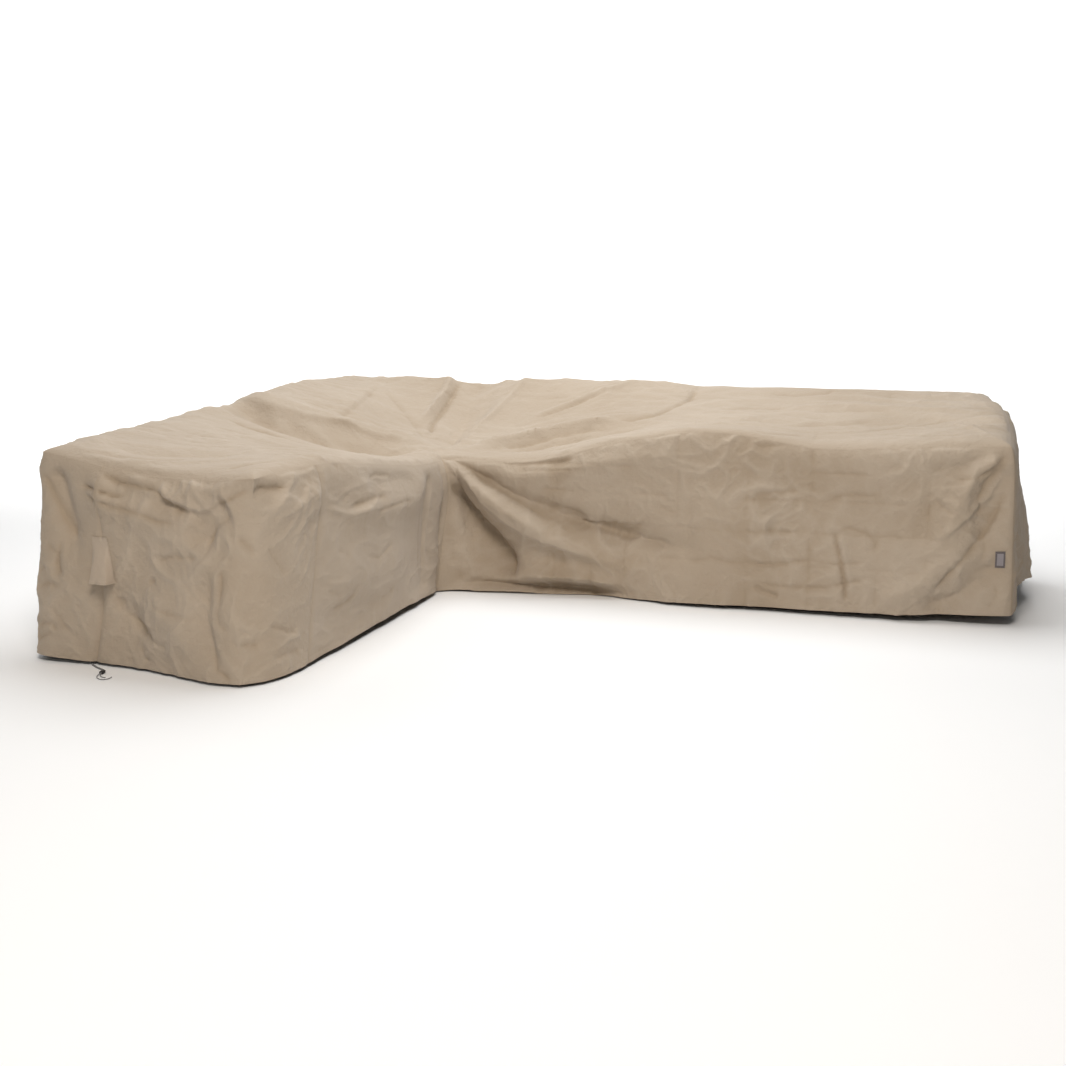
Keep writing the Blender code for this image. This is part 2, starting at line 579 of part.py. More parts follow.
def drawn_in(points, quads, gap):
    """The points with the outline drawn in by a gap, square to each edge."""
    edges = edge_table(quads)
    reach = np.zeros_like(points)
    for here, across in ((0, 3), (1, 2)):
        step = points[edges[:, across]] - points[edges[:, here]]
        step /= np.linalg.norm(step, axis=1)[:, None]
        np.add.at(reach, edges[:, here], step)
    length2 = np.maximum((reach**2).sum(axis=1), 1e-9)[:, None]
    moved = np.unique(edges[:, :2])
    points = points.copy()
    points[moved] += gap * 2 * (reach / length2)[moved]
    return points


def flatness(points, a, b, c, d):
    """Cosine of the angle between the triangles a b c and a c d, highest where the cut follows a fold."""
    first = np.cross(points[b] - points[a], points[c] - points[a])
    second = np.cross(points[c] - points[a], points[d] - points[a])
    return (first * second).sum(axis=1) / (np.linalg.norm(first, axis=1) * np.linalg.norm(second, axis=1))


def cut_faces(points, quads):
    """Triangles of the quads, each quad cut along the diagonal that follows the cloth's folds."""
    a, b, c, d = quads.T
    along = flatness(points, a, b, c, d) >= flatness(points, b, c, d, a)
    return np.concatenate([
        np.stack([a, b, c], axis=-1)[along],
        np.stack([a, c, d], axis=-1)[along],
        np.stack([b, c, d], axis=-1)[~along],
        np.stack([b, d, a], axis=-1)[~along],
    ])


def cloth_mesh(name, points, quads, normals, thickness):
    """A closed sheet of even thickness below the points, its two faces cut along the same diagonals."""
    count = len(points)
    inside = points - normals * thickness
    faces = cut_faces(points, quads)
    edges = edge_table(quads)
    start, end = edges[:, 0], edges[:, 1]
    rim = np.concatenate([
        np.stack([end, start, start + count], axis=-1),
        np.stack([end, start + count, end + count], axis=-1),
    ])
    corners = np.concatenate([points, inside])
    triangles = np.concatenate([faces, faces[:, ::-1] + count, rim])
    mesh = bpy.data.meshes.new(name)
    mesh.from_pydata(corners.tolist(), [], triangles.tolist())
    mesh.shade_smooth()
    mesh.set_sharp_from_angle(angle=np.radians(75))
    return mesh


# The vent hood, sewn over the seam of the end wall. It lies flat under its header band, and below that its
# flap stands out of the wall between two gussets. Places are x along the wall, and heights above the ground.
HoodRow = namedtuple("HoodRow", "height base_left flap_left flap_right base_right stands_out")
HOOD = (
    HoodRow(0.424, -0.645, -0.634, -0.604, -0.593, 0.000),
    HoodRow(0.406, -0.648, -0.634, -0.604, -0.588, 0.000),
    HoodRow(0.398, -0.660, -0.633, -0.603, -0.571, 0.001),
    HoodRow(0.360, -0.660, -0.634, -0.594, -0.571, 0.008),
    HoodRow(0.318, -0.660, -0.637, -0.582, -0.572, 0.017),
    HoodRow(0.278, -0.660, -0.640, -0.566, -0.573, 0.025),
)
TRIM_CLOTH = 0.0012  # thickness of the hood and the tag
SEWN_GAP = 0.0020  # gap between a sewn-on piece and the wall

# The woven tag on the front wall: its lower left corner, its size, and how far it is turned.
TAG_CORNER = (2.119, 0.215)
TAG_SIZE = (0.034, 0.063)
TAG_TURN = np.radians(2.0)
TAG_CELLS = (2, 3)


def cover_tree(grids):
    """A search tree of the panels' outer faces, for placing what is sewn on them."""
    faces = []
    first = 0
    for points, quads in grids.values():
        faces.append(cut_faces(points, quads) + first)
        first += len(points)
    corners = np.concatenate([points for points, _ in grids.values()])
    return BVHTree.FromPolygons(corners.tolist(), np.concatenate(faces).tolist())


def on_cloth(tree, x, height):
    """The y at which a wall that faces the front has its outer face, at x and a height."""
    return tree.ray_cast((x, -9.0, height), (0.0, 1.0, 0.0))[0].y


def sewn_on(name, tree, x, height, stands_out):
    """A thin piece sewn on a wall that faces the front, over a grid of places with rows from top to bottom."""
    places = zip(x.ravel().tolist(), height.ravel().tolist())
    y = np.array([on_cloth(tree, at, up) for at, up in places]).reshape(x.shape)
    clear = SEWN_GAP + TRIM_CLOTH + stands_out
    points = np.stack([x, y - clear, height], axis=-1).reshape(-1, 3)
    quads = grid_quads(*x.shape)
    normals = shared_normals({name: (points, quads)})[name]
    return cloth_mesh(name, points, quads, normals, TRIM_CLOTH)


def hood_mesh(tree):
    """The vent hood, over rows of five places: both edges of the base and the flap, and the flap's middle."""
    rows = np.asarray(HOOD)
    flap_middle = (rows[:, 2] + rows[:, 3]) / 2
    x = np.stack([rows[:, 1], rows[:, 2], flap_middle, rows[:, 3], rows[:, 4]], axis=-1)
    height = np.repeat(rows[:, :1], x.shape[1], axis=1)
    stands_out = rows[:, 5:] * np.array([0, 1, 1, 1, 0])
    return sewn_on("vent_hood", tree, x, height, stands_out)


def tag_mesh(tree):
    """The tag, a blank oblong."""
    across, up = np.meshgrid(
        np.linspace(0, TAG_SIZE[0], TAG_CELLS[0] + 1),
        np.linspace(TAG_SIZE[1], 0, TAG_CELLS[1] + 1),
    )
    x = TAG_CORNER[0] + across * np.cos(TAG_TURN) - up * np.sin(TAG_TURN)
    height = TAG_CORNER[1] + across * np.sin(TAG_TURN) + up * np.cos(TAG_TURN)
    return sewn_on("woven_tag", tree, x, height, np.zeros_like(x))


# The drawstring's two tails, from the hem of the end wall along the ground and through the lock.
CORD = 0.003  # diameter of the drawstring
CORD_STEP = 0.008  # distance between the points of its solid
TAILS = {
    "drawstring_left": (
        (-0.6925, -1.3790, 0.0098), (-0.6900, -1.3870, 0.0085), (-0.6840, -1.3960, 0.0042),
        (-0.6740, -1.4060, 0.0018), (-0.6560, -1.4190, 0.0018), (-0.6350, -1.4320, 0.0018),
        (-0.6130, -1.4440, 0.0020), (-0.5965, -1.4560, 0.0034), (-0.5890, -1.4675, 0.0053),
        (-0.5866, -1.4855, 0.0053), (-0.5862, -1.4940, 0.0036), (-0.5840, -1.5040, 0.0020),
        (-0.5760, -1.5180, 0.0018), (-0.5620, -1.5300, 0.0018), (-0.5450, -1.5350, 0.0018),
        (-0.5330, -1.5260, 0.0018), (-0.5310, -1.5110, 0.0018), (-0.5340, -1.5010, 0.0018),
    ),
    "drawstring_right": (
        (-0.6885, -1.3788, 0.0098), (-0.6862, -1.3862, 0.0085), (-0.6810, -1.3935, 0.0042),
        (-0.6715, -1.4025, 0.0018), (-0.6540, -1.4150, 0.0018), (-0.6330, -1.4275, 0.0018),
        (-0.6105, -1.4390, 0.0020), (-0.5930, -1.4520, 0.0034), (-0.5854, -1.4670, 0.0053),
        (-0.5830, -1.4850, 0.0053), (-0.5805, -1.4930, 0.0036), (-0.5755, -1.5010, 0.0020),
        (-0.5655, -1.5095, 0.0018), (-0.5545, -1.5135, 0.0018), (-0.5470, -1.5130, 0.0018),
    ),
}

# The cord lock: a barrel with one slot for both cords. Its rows are ring by ring along the slot.
LOCK_MIDDLE = (-0.5860, -1.47625, 0.0053)
LOCK_TURN = np.radians(7.6)  # its slot points to the front, turned by this towards the right
LOCK_LENGTH = 0.016
LOCK_HALF = (0.0074, 0.0050)  # half its width and half its height
SLOT_HALF = (0.0038, 0.0020)
LOCK_RINGS = (-1.0, -0.9, -0.6, 0.0, 0.6, 0.9, 1.0)
LOCK_SCALE = (0.82, 0.94, 1.0, 1.0, 1.0, 0.94, 0.82)
LOCK_SIDES = 20


def smooth_route(points, step):
    """Evenly spaced points of a smooth curve through the route's points."""
    route = np.asarray(points)
    walked = np.concatenate([[0.0], np.cumsum(np.linalg.norm(np.diff(route, axis=0), axis=1))])
    at = np.linspace(0, walked[-1], round(walked[-1] / step) + 1)
    return np.stack([smooth_table(at, walked, route[:, k]) for k in range(3)], axis=-1)


def cord_curve(name, points):
    """A round cord along a route, with closed ends."""
    route = smooth_route(points, CORD_STEP)
    curve = bpy.data.curves.new(name, "CURVE")
    curve.dimensions = "3D"
    curve.bevel_depth = CORD / 2
    curve.bevel_resolution = 2
    curve.use_fill_caps = True
    spline = curve.splines.new("POLY")
    spline.points.add(len(route) - 1)
    spline.points.foreach_set("co", np.column_stack([route, np.ones(len(route))]).ravel())
    return curve


def rounded_ring(half, power):
    """Points round a rounded oblong, a superellipse: |u / half width|^power + |v / half height|^power = 1."""
    turn = np.linspace(0, 2 * np.pi, LOCK_SIDES, endpoint=False)
    u = half[0] * np.sign(np.cos(turn)) * np.abs(np.cos(turn)) ** (2 / power)
    v = half[1] * np.sign(np.sin(turn)) * np.abs(np.sin(turn)) ** (2 / power)
    return np.stack([u, v], axis=-1)


def lock_mesh():
    """The barrel: rings along its outside and back along its slot, closed into a loop of rings."""
    outer = rounded_ring(LOCK_HALF, 3.0)
    slot = rounded_ring(SLOT_HALF, 4.0)
    ring_shapes = [outer * scale for scale in LOCK_SCALE] + [slot, slot]
    ring_places = np.array(LOCK_RINGS + (1.0, -1.0)) * LOCK_LENGTH / 2
    u, v = np.concatenate(ring_shapes).T
    along = np.repeat(ring_places, LOCK_SIDES)
    x = LOCK_MIDDLE[0] + u * np.cos(LOCK_TURN) + along * np.sin(LOCK_TURN)
    y = LOCK_MIDDLE[1] + u * np.sin(LOCK_TURN) - along * np.cos(LOCK_TURN)
    first = np.arange(len(u)).reshape(len(ring_places), LOCK_SIDES)
    after = np.roll(first, -1, axis=0)
    quads = np.stack([first, np.roll(first, -1, axis=1), np.roll(after, -1, axis=1), after], axis=-1)
    corners = np.stack([x, y, LOCK_MIDDLE[2] + v], axis=-1)
    mesh = bpy.data.meshes.new("cord_lock")
    mesh.from_pydata(corners.tolist(), [], quads.reshape(-1, 4).tolist())
    mesh.shade_smooth()
    mesh.set_sharp_from_angle(angle=np.radians(40))
    return mesh


def material(name, colour, roughness, metallic=0.0):
    """A Principled material of one colour."""
    made = bpy.data.materials.new(name)
    made.use_nodes = True
    shader = made.node_tree.nodes["Principled BSDF"]
    shader.inputs["Base Color"].default_value = (*colour, 1.0)
    shader.inputs["Roughness"].default_value = roughness
    shader.inputs["Metallic"].default_value = metallic
    return made


def add(mesh_or_curve, look):
    """One object of the cover, moved from the working frame so that the origin lies under the top."""
    made = bpy.data.objects.new(mesh_or_curve.name, mesh_or_curve)
    mesh_or_curve.materials.append(look)
    made.location = [-value for value in ORIGIN]
    bpy.context.scene.collection.objects.link(made)
    return made


def clear_scene():
    """Removes every object that the scene starts with."""
    for old in list(bpy.data.objects):
        bpy.data.objects.remove(old, do_unlink=True)


def origin():
    """The point where the top is carried, a little under the cloth."""
    x, y = (np.asarray([value]) for value in CARRIED_AT)
    return (*CARRIED_AT, float(top_height(x, y)[0]) - CLOTH - CARRY_GAP)


ORIGIN = origin()
clear_scene()
CLOTH_LOOK = material("woven cloth", (0.42, 0.34, 0.26), 0.85)
TRIM_LOOK = material("hood cloth", (0.36, 0.29, 0.22), 0.85)
TAG_LOOK = material("woven tag", (0.16, 0.12, 0.11), 0.80)
CORD_LOOK = material("braided cord", (0.20, 0.20, 0.21), 0.80)
LOCK_LOOK = material("moulded lock", (0.02, 0.02, 0.02), 0.45)

GRIDS = panel_grids()
NORMALS = shared_normals(GRIDS)
for panel, (grid_points, quads) in GRIDS.items():
    drawn = drawn_in(grid_points, quads, SEAM_GAP / 2)
    add(cloth_mesh(panel, drawn, quads, NORMALS[panel], CLOTH), CLOTH_LOOK)

COVER = cover_tree(GRIDS)
add(hood_mesh(COVER), TRIM_LOOK)
add(tag_mesh(COVER), TAG_LOOK)
for tail, route in TAILS.items():
    add(cord_curve(tail, route), CORD_LOOK)
add(lock_mesh(), LOCK_LOOK)
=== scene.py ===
# %% [markdown]
# # An L-shaped rain cover
# The real thing is one big fitted cover, cut from a coated plain weave: an L-shaped top, six wall panels,
# a small hood over a vent, a blank woven tag and a drawstring in the hem. It hangs in long folds that fan
# out of the L's inner corner, and it still has the creases of the packet in which it was folded.
#
# A cover like this could be draped by a cloth simulation, or sculpted. Here each panel is a surface
# function on a grid instead, so that every fold is where its table says and can be moved by one number.

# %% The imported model, the fixed frame of everything below
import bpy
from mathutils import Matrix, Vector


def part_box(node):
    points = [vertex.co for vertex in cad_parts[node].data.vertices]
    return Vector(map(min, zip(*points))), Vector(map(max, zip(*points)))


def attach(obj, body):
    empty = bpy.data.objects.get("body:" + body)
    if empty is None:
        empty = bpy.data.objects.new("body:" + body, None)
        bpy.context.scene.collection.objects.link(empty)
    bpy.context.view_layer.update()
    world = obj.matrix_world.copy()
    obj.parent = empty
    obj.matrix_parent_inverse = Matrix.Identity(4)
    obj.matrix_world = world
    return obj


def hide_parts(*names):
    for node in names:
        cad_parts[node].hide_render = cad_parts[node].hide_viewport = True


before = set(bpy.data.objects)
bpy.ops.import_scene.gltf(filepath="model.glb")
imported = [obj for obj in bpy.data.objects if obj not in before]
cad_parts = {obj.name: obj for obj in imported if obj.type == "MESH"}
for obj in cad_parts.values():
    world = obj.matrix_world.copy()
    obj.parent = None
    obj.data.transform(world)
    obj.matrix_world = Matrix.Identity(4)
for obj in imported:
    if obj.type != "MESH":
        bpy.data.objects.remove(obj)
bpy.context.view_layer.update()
print("nodes:", ", ".join(sorted(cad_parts)))

# %% Modules, and where the working frame lies
import math
from collections import namedtuple
from functools import partialmethod

import bpy
import numpy as np
from mathutils import Vector
from mathutils.bvhtree import BVHTree

MM = 1000  # millimetres in a metre: the long tables below are in millimetres
ELBOW = (-0.44, 0.44)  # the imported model's origin lies under this plan point of the working frame
LOCK_CLEARS_GROUND = 0.0003  # the lock is the lowest hard piece, and it all but lies on the ground
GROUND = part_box("cord_lock")[0].z - LOCK_CLEARS_GROUND  # the ground's height in the model
SHIFT = np.array([-ELBOW[0], -ELBOW[1], GROUND])
print("from the working frame to the model's, moved by", SHIFT.round(4))

# %% [markdown]
# ## The camera
# The camera stands in front and to the right at a little over a metre, and looks slightly down and to the
# left. Its place and lens were solved from the cover's straight edges. It is made first, because the cords
# are measured against what it sees.

# %% The camera
EYE = np.array([1.843, -4.716, 1.129])  # in the working frame
TURNED_LEFT = math.radians(17.262)
LOOKS_DOWN = math.radians(10.078)
SENSOR = 36.0
LENS = 42.33


def add_object(name, data):
    """A new object of the scene."""
    made = bpy.data.objects.new(name, data)
    bpy.context.scene.collection.objects.link(made)
    return made


camera_data = bpy.data.cameras.new("camera")
camera_data.sensor_fit = "HORIZONTAL"
camera_data.sensor_width = SENSOR
camera_data.lens = LENS
camera = add_object("camera", camera_data)
camera.location = EYE + SHIFT
camera.rotation_euler = (math.pi / 2 - LOOKS_DOWN, 0.0, TURNED_LEFT)
bpy.context.scene.camera = camera
print("camera at", np.round(camera.location, 3), "lens", LENS)

# %% [markdown]
# ## Curves through tables
# Edges, hems and cords are given by a few rows each. One curve reads them all: between two rows it is a
# cubic that takes its slope at each row from the chords on both sides, so it bends softly and still passes
# through every row.

# %% Curves and soft steps
def smooth_table(at, places, values):
    """A curve through a table: cubic between two rows, its slope at a row the mean of the two chords."""
    places = np.asarray(places, float)
    values = np.asarray(values, float)
    chord = np.diff(values) / np.diff(places)
    slope = np.concatenate([chord[:1], (chord[1:] + chord[:-1]) / 2, chord[-1:]])
    row = np.clip(np.searchsorted(places, at) - 1, 0, len(places) - 2)
    span = places[row + 1] - places[row]
    t = np.clip((at - places[row]) / span, 0.0, 1.0)
    rising = t * t * (3 - 2 * t)
    bends = slope[row] * t * (1 - t) ** 2 - slope[row + 1] * t * t * (1 - t)
    return values[row] + (values[row + 1] - values[row]) * rising + span * bends


def joined(*parts):
    """Arrays of one shape as one, whose last axis has a value of each."""
    return np.stack(parts, axis=-1)


def unit(vectors):
    """Vectors brought to the length 1."""
    return vectors / np.linalg.norm(vectors, axis=-1)[..., None]


def as_route(numbers, size=2):
    """The points of a route, from a row of millimetres with two or three numbers for each point."""
    return np.reshape(numbers, (-1, size)) / MM


def walked_to(points):
    """The distance walked along a line of points, at each of them."""
    return np.concatenate([[0.0], np.cumsum(np.linalg.norm(np.diff(points, axis=0), axis=1))])


def ease(t):
    """0 below 0 and 1 above 1, with a smooth S between them."""
    t = np.clip(t, 0.0, 1.0)
    return t * t * (3 - 2 * t)


print("the soft step at a quarter and at half:", ease(0.25), ease(0.5))

# %% [markdown]
# ## Meshes from grids
# A panel is a grid of points with a thickness. The outer face is the surface function, the inner face is
# the same grid moved in along the surface's normals, and a rim closes the two along the outline. All of it
# is worked out as whole arrays and put into the mesh in one go. Each corner also keeps its place on the
# flat cloth, in metres, as a UV map, so that the weave runs along the panel and not through space.

# %% Grids, normals and closed sheets
def grid_quads(rows, across):
    """Quads of a grid of points, rows by across, numbered row by row."""
    first = np.arange(rows * across).reshape(rows, across)
    quads = joined(first[:-1, :-1], first[1:, :-1], first[1:, 1:], first[:-1, 1:])
    return quads.reshape(-1, 4)


def point_normals(points, quads):
    """Unit normal at each point: the sum of its quads' normals, each the cross product of the diagonals."""
    a, b, c, d = (points[quads[:, k]] for k in range(4))
    normals = np.cross(c - a, d - b)
    total = np.zeros_like(points)
    for k in range(4):
        np.add.at(total, quads[:, k], normals)
    return unit(total)


def rim_edges(quads):
    """The directed edges that only one quad has, which are the outline."""
    edges = np.concatenate([quads[:, [k, (k + 1) % 4]] for k in range(4)])
    low, high = edges.min(axis=1).astype(np.int64), edges.max(axis=1).astype(np.int64)
    _, same, count = np.unique(low * (quads.max() + 1) + high, return_inverse=True, return_counts=True)
    return edges[count[same.reshape(-1)] == 1]


def make_mesh(name, points, faces, uv=None, sharp=60.0):
    """A mesh object from arrays: its points, its faces of three or four corners, and a UV for each point."""
    mesh = bpy.data.meshes.new(name)
    corners = faces.reshape(-1)
    mesh.vertices.add(len(points))
    mesh.vertices.foreach_set("co", (points + SHIFT).astype(np.float32).ravel())
    mesh.loops.add(len(corners))
    mesh.loops.foreach_set("vertex_index", corners.astype(np.int32))
    mesh.polygons.add(len(faces))
    mesh.polygons.foreach_set("loop_start", np.arange(len(faces), dtype=np.int32) * faces.shape[1])
    if uv is not None:
        layer = mesh.uv_layers.new(name="cut")
        layer.data.foreach_set("uv", uv[corners].astype(np.float32).ravel())
    mesh.update(calc_edges=True)
    mesh.shade_smooth()
    mesh.set_sharp_from_angle(angle=math.radians(sharp))
    return add_object(name, mesh)


def closed_sheet(name, points, quads, uv, thickness):
    """A sheet of even thickness: the outer face, the inner face turned round, and the rim between them."""
    inner = points - point_normals(points, quads) * thickness
    start, end = rim_edges(quads).T
    rim = joined(end, start, start + len(points), end + len(points))
    faces = np.concatenate([quads, quads[:, ::-1] + len(points), rim])
    made = make_mesh(name, np.concatenate([points, inner]), faces, np.concatenate([uv, uv]))
    print(f"{name}: {len(quads)} cells, {2 * len(faces)} triangles")
    return made

# %% [markdown]
# ## The drawstring
# The hem holds a drawstring, of which two tails come out at the vent end. It is a soft braided cord, 3 mm
# thick: each tail leaves the hem, drops to the ground, runs side by side with the other through a small
# lock, and ends in a short loose curl. A curve with a bevel would give a smooth tube. The braid is wanted
# as well, so the tube is a profile carried along the path, whose radius rises where the strands cross.

# %% The tails' routes
CORD = 0.003  # diameter of the drawstring
# From the hem of the end wall, along the ground and through the lock, in millimetres.
TAILS = {
    "drawstring_left": (
        -692.5,-1379,9.8, -690,-1387,8.5, -684,-1396,4.2, -674,-1406,1.8, -656,-1419,1.8, -635,-1432,1.8,
        -613,-1444,2, -596.5,-1456,3.4, -589,-1467.5,5.3, -586.6,-1485.5,5.3, -586.2,-1494,3.6,
        -584,-1504,2, -576,-1518,1.8, -562,-1530,1.8, -545,-1535,1.8, -533,-1526,1.8, -531,-1511,1.8,
        -534,-1501,1.8,
    ),
    "drawstring_right": (
        -688.5,-1378.8,9.8, -686.2,-1386.2,8.5, -681,-1393.5,4.2, -671.5,-1402.5,1.8, -654,-1415,1.8,
        -633,-1427.5,1.8, -610.5,-1439,2, -593,-1452,3.4, -585.4,-1467,5.3, -583,-1485,5.3,
        -580.5,-1493,3.6, -575.5,-1501,2, -565.5,-1509.5,1.8, -554.5,-1513.5,1.8, -547,-1513,1.8,
    ),
}


def smooth_route(points, step):
    """Evenly spaced points of a smooth curve through the route's points."""
    route = as_route(points, 3)
    walked = walked_to(route)
    at = np.linspace(0, walked[-1], round(walked[-1] / step) + 1)
    return joined(*(smooth_table(at, walked, route[:, k]) for k in range(3)))


for name, route in TAILS.items():
    print(f"{name}: {len(route) // 3} points placed by hand")

# %% A braided tube
BRAID_STEP = 0.0008  # between two rings of points
BRAID_SIDES = 20  # points in a ring
BRAID_STRANDS = 4  # strands each way round the cord
BRAID_PITCH = 0.011  # length in which a strand goes once round
BRAID_RAISED = 0.00016  # how high a strand stands


def path_frames(path):
    """Side and lift of a path that lies almost level: side = up x tangent, lift = tangent x side."""
    tangent = unit(np.gradient(path, axis=0))
    side = unit(np.cross([0.0, 0.0, 1.0], tangent))
    return side, np.cross(tangent, side)


def braided_tube(name, route):
    """Radius = cord radius + raised x |cos(strands x (turn + spiral))| x |cos(strands x (turn - spiral))|.

    The two cosines are the strands that wind to the right and to the left, and both are high where a strand
    lies on top. At both ends the radius closes in a half circle, and a fan of triangles shuts the tube.
    """
    path = smooth_route(route, BRAID_STEP)
    side, lift = path_frames(path)
    turn = np.linspace(0, 2 * np.pi, BRAID_SIDES, endpoint=False)
    along = np.arange(len(path)) * BRAID_STEP
    spiral = 2 * np.pi * along[:, None] / BRAID_PITCH
    half = BRAID_STRANDS / 2
    raised = np.abs(np.cos(half * (turn + spiral))) * np.abs(np.cos(half * (turn - spiral)))
    radius = CORD / 2 - BRAID_RAISED + BRAID_RAISED * raised
    from_end = np.minimum(along, along[-1] - along)[:, None]
    cap = np.clip(from_end / (CORD / 2), 0.0, 1.0)
    radius = radius * np.sqrt(np.maximum(1 - (1 - cap) ** 2, 0.004))
    ring = np.cos(turn)[None, :, None] * side[:, None] + np.sin(turn)[None, :, None] * lift[:, None]
    points = (path[:, None] + radius[..., None] * ring).reshape(-1, 3)
    first = np.arange(len(points)).reshape(len(path), BRAID_SIDES)
    after = np.roll(first, -1, axis=1)
    quads = joined(first[:-1], after[:-1], after[1:], first[1:]).reshape(-1, 4)
    head, tail, fan = first[0], first[-1], np.ones(BRAID_SIDES - 2, int)
    fans = [joined(head[0] * fan, head[2:], head[1:-1]),
            joined(tail[0] * fan, tail[1:-1], tail[2:])]
    triangles = np.concatenate([quads[:, [0, 1, 2]], quads[:, [0, 2, 3]], *fans])
    uv = joined(np.repeat(along, BRAID_SIDES), np.tile(turn / (2 * np.pi), len(path)))
    print(f"{name}: {along[-1]:.3f} m long")
    return make_mesh(name, points, triangles, uv), path


TAIL_PIECES = {name: braided_tube(name + "_braid", route) for name, route in TAILS.items()}

# %% [markdown]
# ## The cord lock
# The lock is a small moulded barrel with one slot for both tails. Its rings run along the outside and back
# along the slot, so that the outer skin and the slot's wall are one closed loop of rings. Fine ribs round
# the barrel are where the fingers hold it.

# %% The cord lock
LOCK_MIDDLE = (-0.5860, -1.47625, 0.0053)
LOCK_TURN = np.radians(7.6)  # the way that the tails run there
LOCK_LENGTH = 0.016
LOCK_HALF = (0.0074, 0.0050)  # half of its width and height
SLOT_HALF = (0.0038, 0.0020)
LOCK_SIDES = 48
LOCK_RIBS = 5
RIB_HIGH = 0.025  # share of the barrel's half width


def rounded_ring(half, power, sides):
    """Points round a rounded oblong, a superellipse: |u / half width|^power + |v / half height|^power = 1."""
    turn = np.linspace(0, 2 * np.pi, sides, endpoint=False)
    u = half[0] * np.sign(np.cos(turn)) * np.abs(np.cos(turn)) ** (2 / power)
    v = half[1] * np.sign(np.sin(turn)) * np.abs(np.sin(turn)) ** (2 / power)
    return joined(u, v)


def cord_lock():
    """The barrel and its slot, as rings out along the one and back along the other.

    The barrel's size is 0.80 + 0.20 x (1 - |at|^6)^(1/2), where at runs from -1 to 1 along it, less the
    grooves of the ribs: a cosine that fades out past the middle half. The slot flares with |at|^8.
    """
    at = np.linspace(-1, 1, 61)
    size = 0.80 + 0.20 * (1 - np.abs(at) ** 6) ** 0.5
    ribs = RIB_HIGH * (np.cos(at * np.pi * LOCK_RIBS * 2) - 1) / 2 * (1 - ease((np.abs(at) - 0.45) / 0.15))
    slot_at = np.linspace(1, -1, 21)
    flare = 1 + 0.06 * np.abs(slot_at) ** 8
    outer = rounded_ring(LOCK_HALF, 3.0, LOCK_SIDES)[None] * (size + ribs)[:, None, None]
    slot = rounded_ring(SLOT_HALF, 4.0, LOCK_SIDES)[None] * flare[:, None, None]
    u, v = np.concatenate([outer, slot]).reshape(-1, 2).T
    along = np.repeat(np.concatenate([at, slot_at]), LOCK_SIDES) * LOCK_LENGTH / 2
    x = LOCK_MIDDLE[0] + u * np.cos(LOCK_TURN) + along * np.sin(LOCK_TURN)
    y = LOCK_MIDDLE[1] + u * np.sin(LOCK_TURN) - along * np.cos(LOCK_TURN)
    first = np.arange(len(u)).reshape(-1, LOCK_SIDES)
    after = np.roll(first, -1, axis=0)
    quads = joined(first, np.roll(first, -1, axis=1), np.roll(after, -1, axis=1), after)
    points = joined(x, y, LOCK_MIDDLE[2] + v)
    return make_mesh("lock_barrel", points, quads.reshape(-1, 4), sharp=50.0)


LOCK_PIECE = cord_lock()
print("cord lock:", len(LOCK_PIECE.data.polygons), "faces")

# %% [markdown]
# ## The cover's outline
# The cover is an L in plan, with equal wings. Its walls are named for where they stand, and each is walked
# in one direction. The top's height just inside each edge, and the hem's height and flare, are curves
# through short tables.

# %% Sizes, corners and walls
WING = 0.88  # depth of both wings, front to back
SHORT = 1.38  # short wing, from the inner corner to its end
LONG = 2.16  # long wing, from the inner corner to its end
FRONT_TOP = 0.655  # the top above the ground along the front
BACK_RISE = 0.125  # how much higher the top is along the back
SIDE_RISE = (0.09, 0.05)  # how much it rises to the outer side, along the wing and in the step near the back
CORNER_SAG = 0.115  # how far the top sinks at the inner corner
SAG_REACH = 0.62  # how far from the inner corner it sinks
EDGE_ROLL = 0.027  # how far the cloth rolls over each top edge, down and out
ROLL_LENGTH = 0.036  # the distance over which it rolls
SHEET = 0.0012  # thickness of the cloth as it is drawn here

# The corners of the L in plan, in walking order, and the walls between them with their outward directions.
CORNERS = {
    "inner": (0.0, 0.0), "short_right": (0.0, -SHORT), "short_left": (-WING, -SHORT),
    "back_left": (-WING, WING), "back_right": (LONG, WING), "long_front": (LONG, 0.0),
}
Side = namedtuple("Side", "start end out")
SIDES = {
    "inner": Side("inner", "short_right", (1, 0)),
    "short_end": Side("short_right", "short_left", (0, -1)),
    "outer": Side("short_left", "back_left", (-1, 0)),
    "back": Side("back_left", "back_right", (0, 1)),
    "long_end": Side("back_right", "long_front", (1, 0)),
    "front": Side("long_front", "inner", (0, -1)),
}
ORDER = list(SIDES)


def runs_along(side):
    """0 for a wall along X, and 1 for a wall along Y."""
    return 1 if SIDES[side].out[0] else 0


for side, (start, end, _) in SIDES.items():
    print(f"{side}: {math.dist(CORNERS[start], CORNERS[end]):.2f} m long")

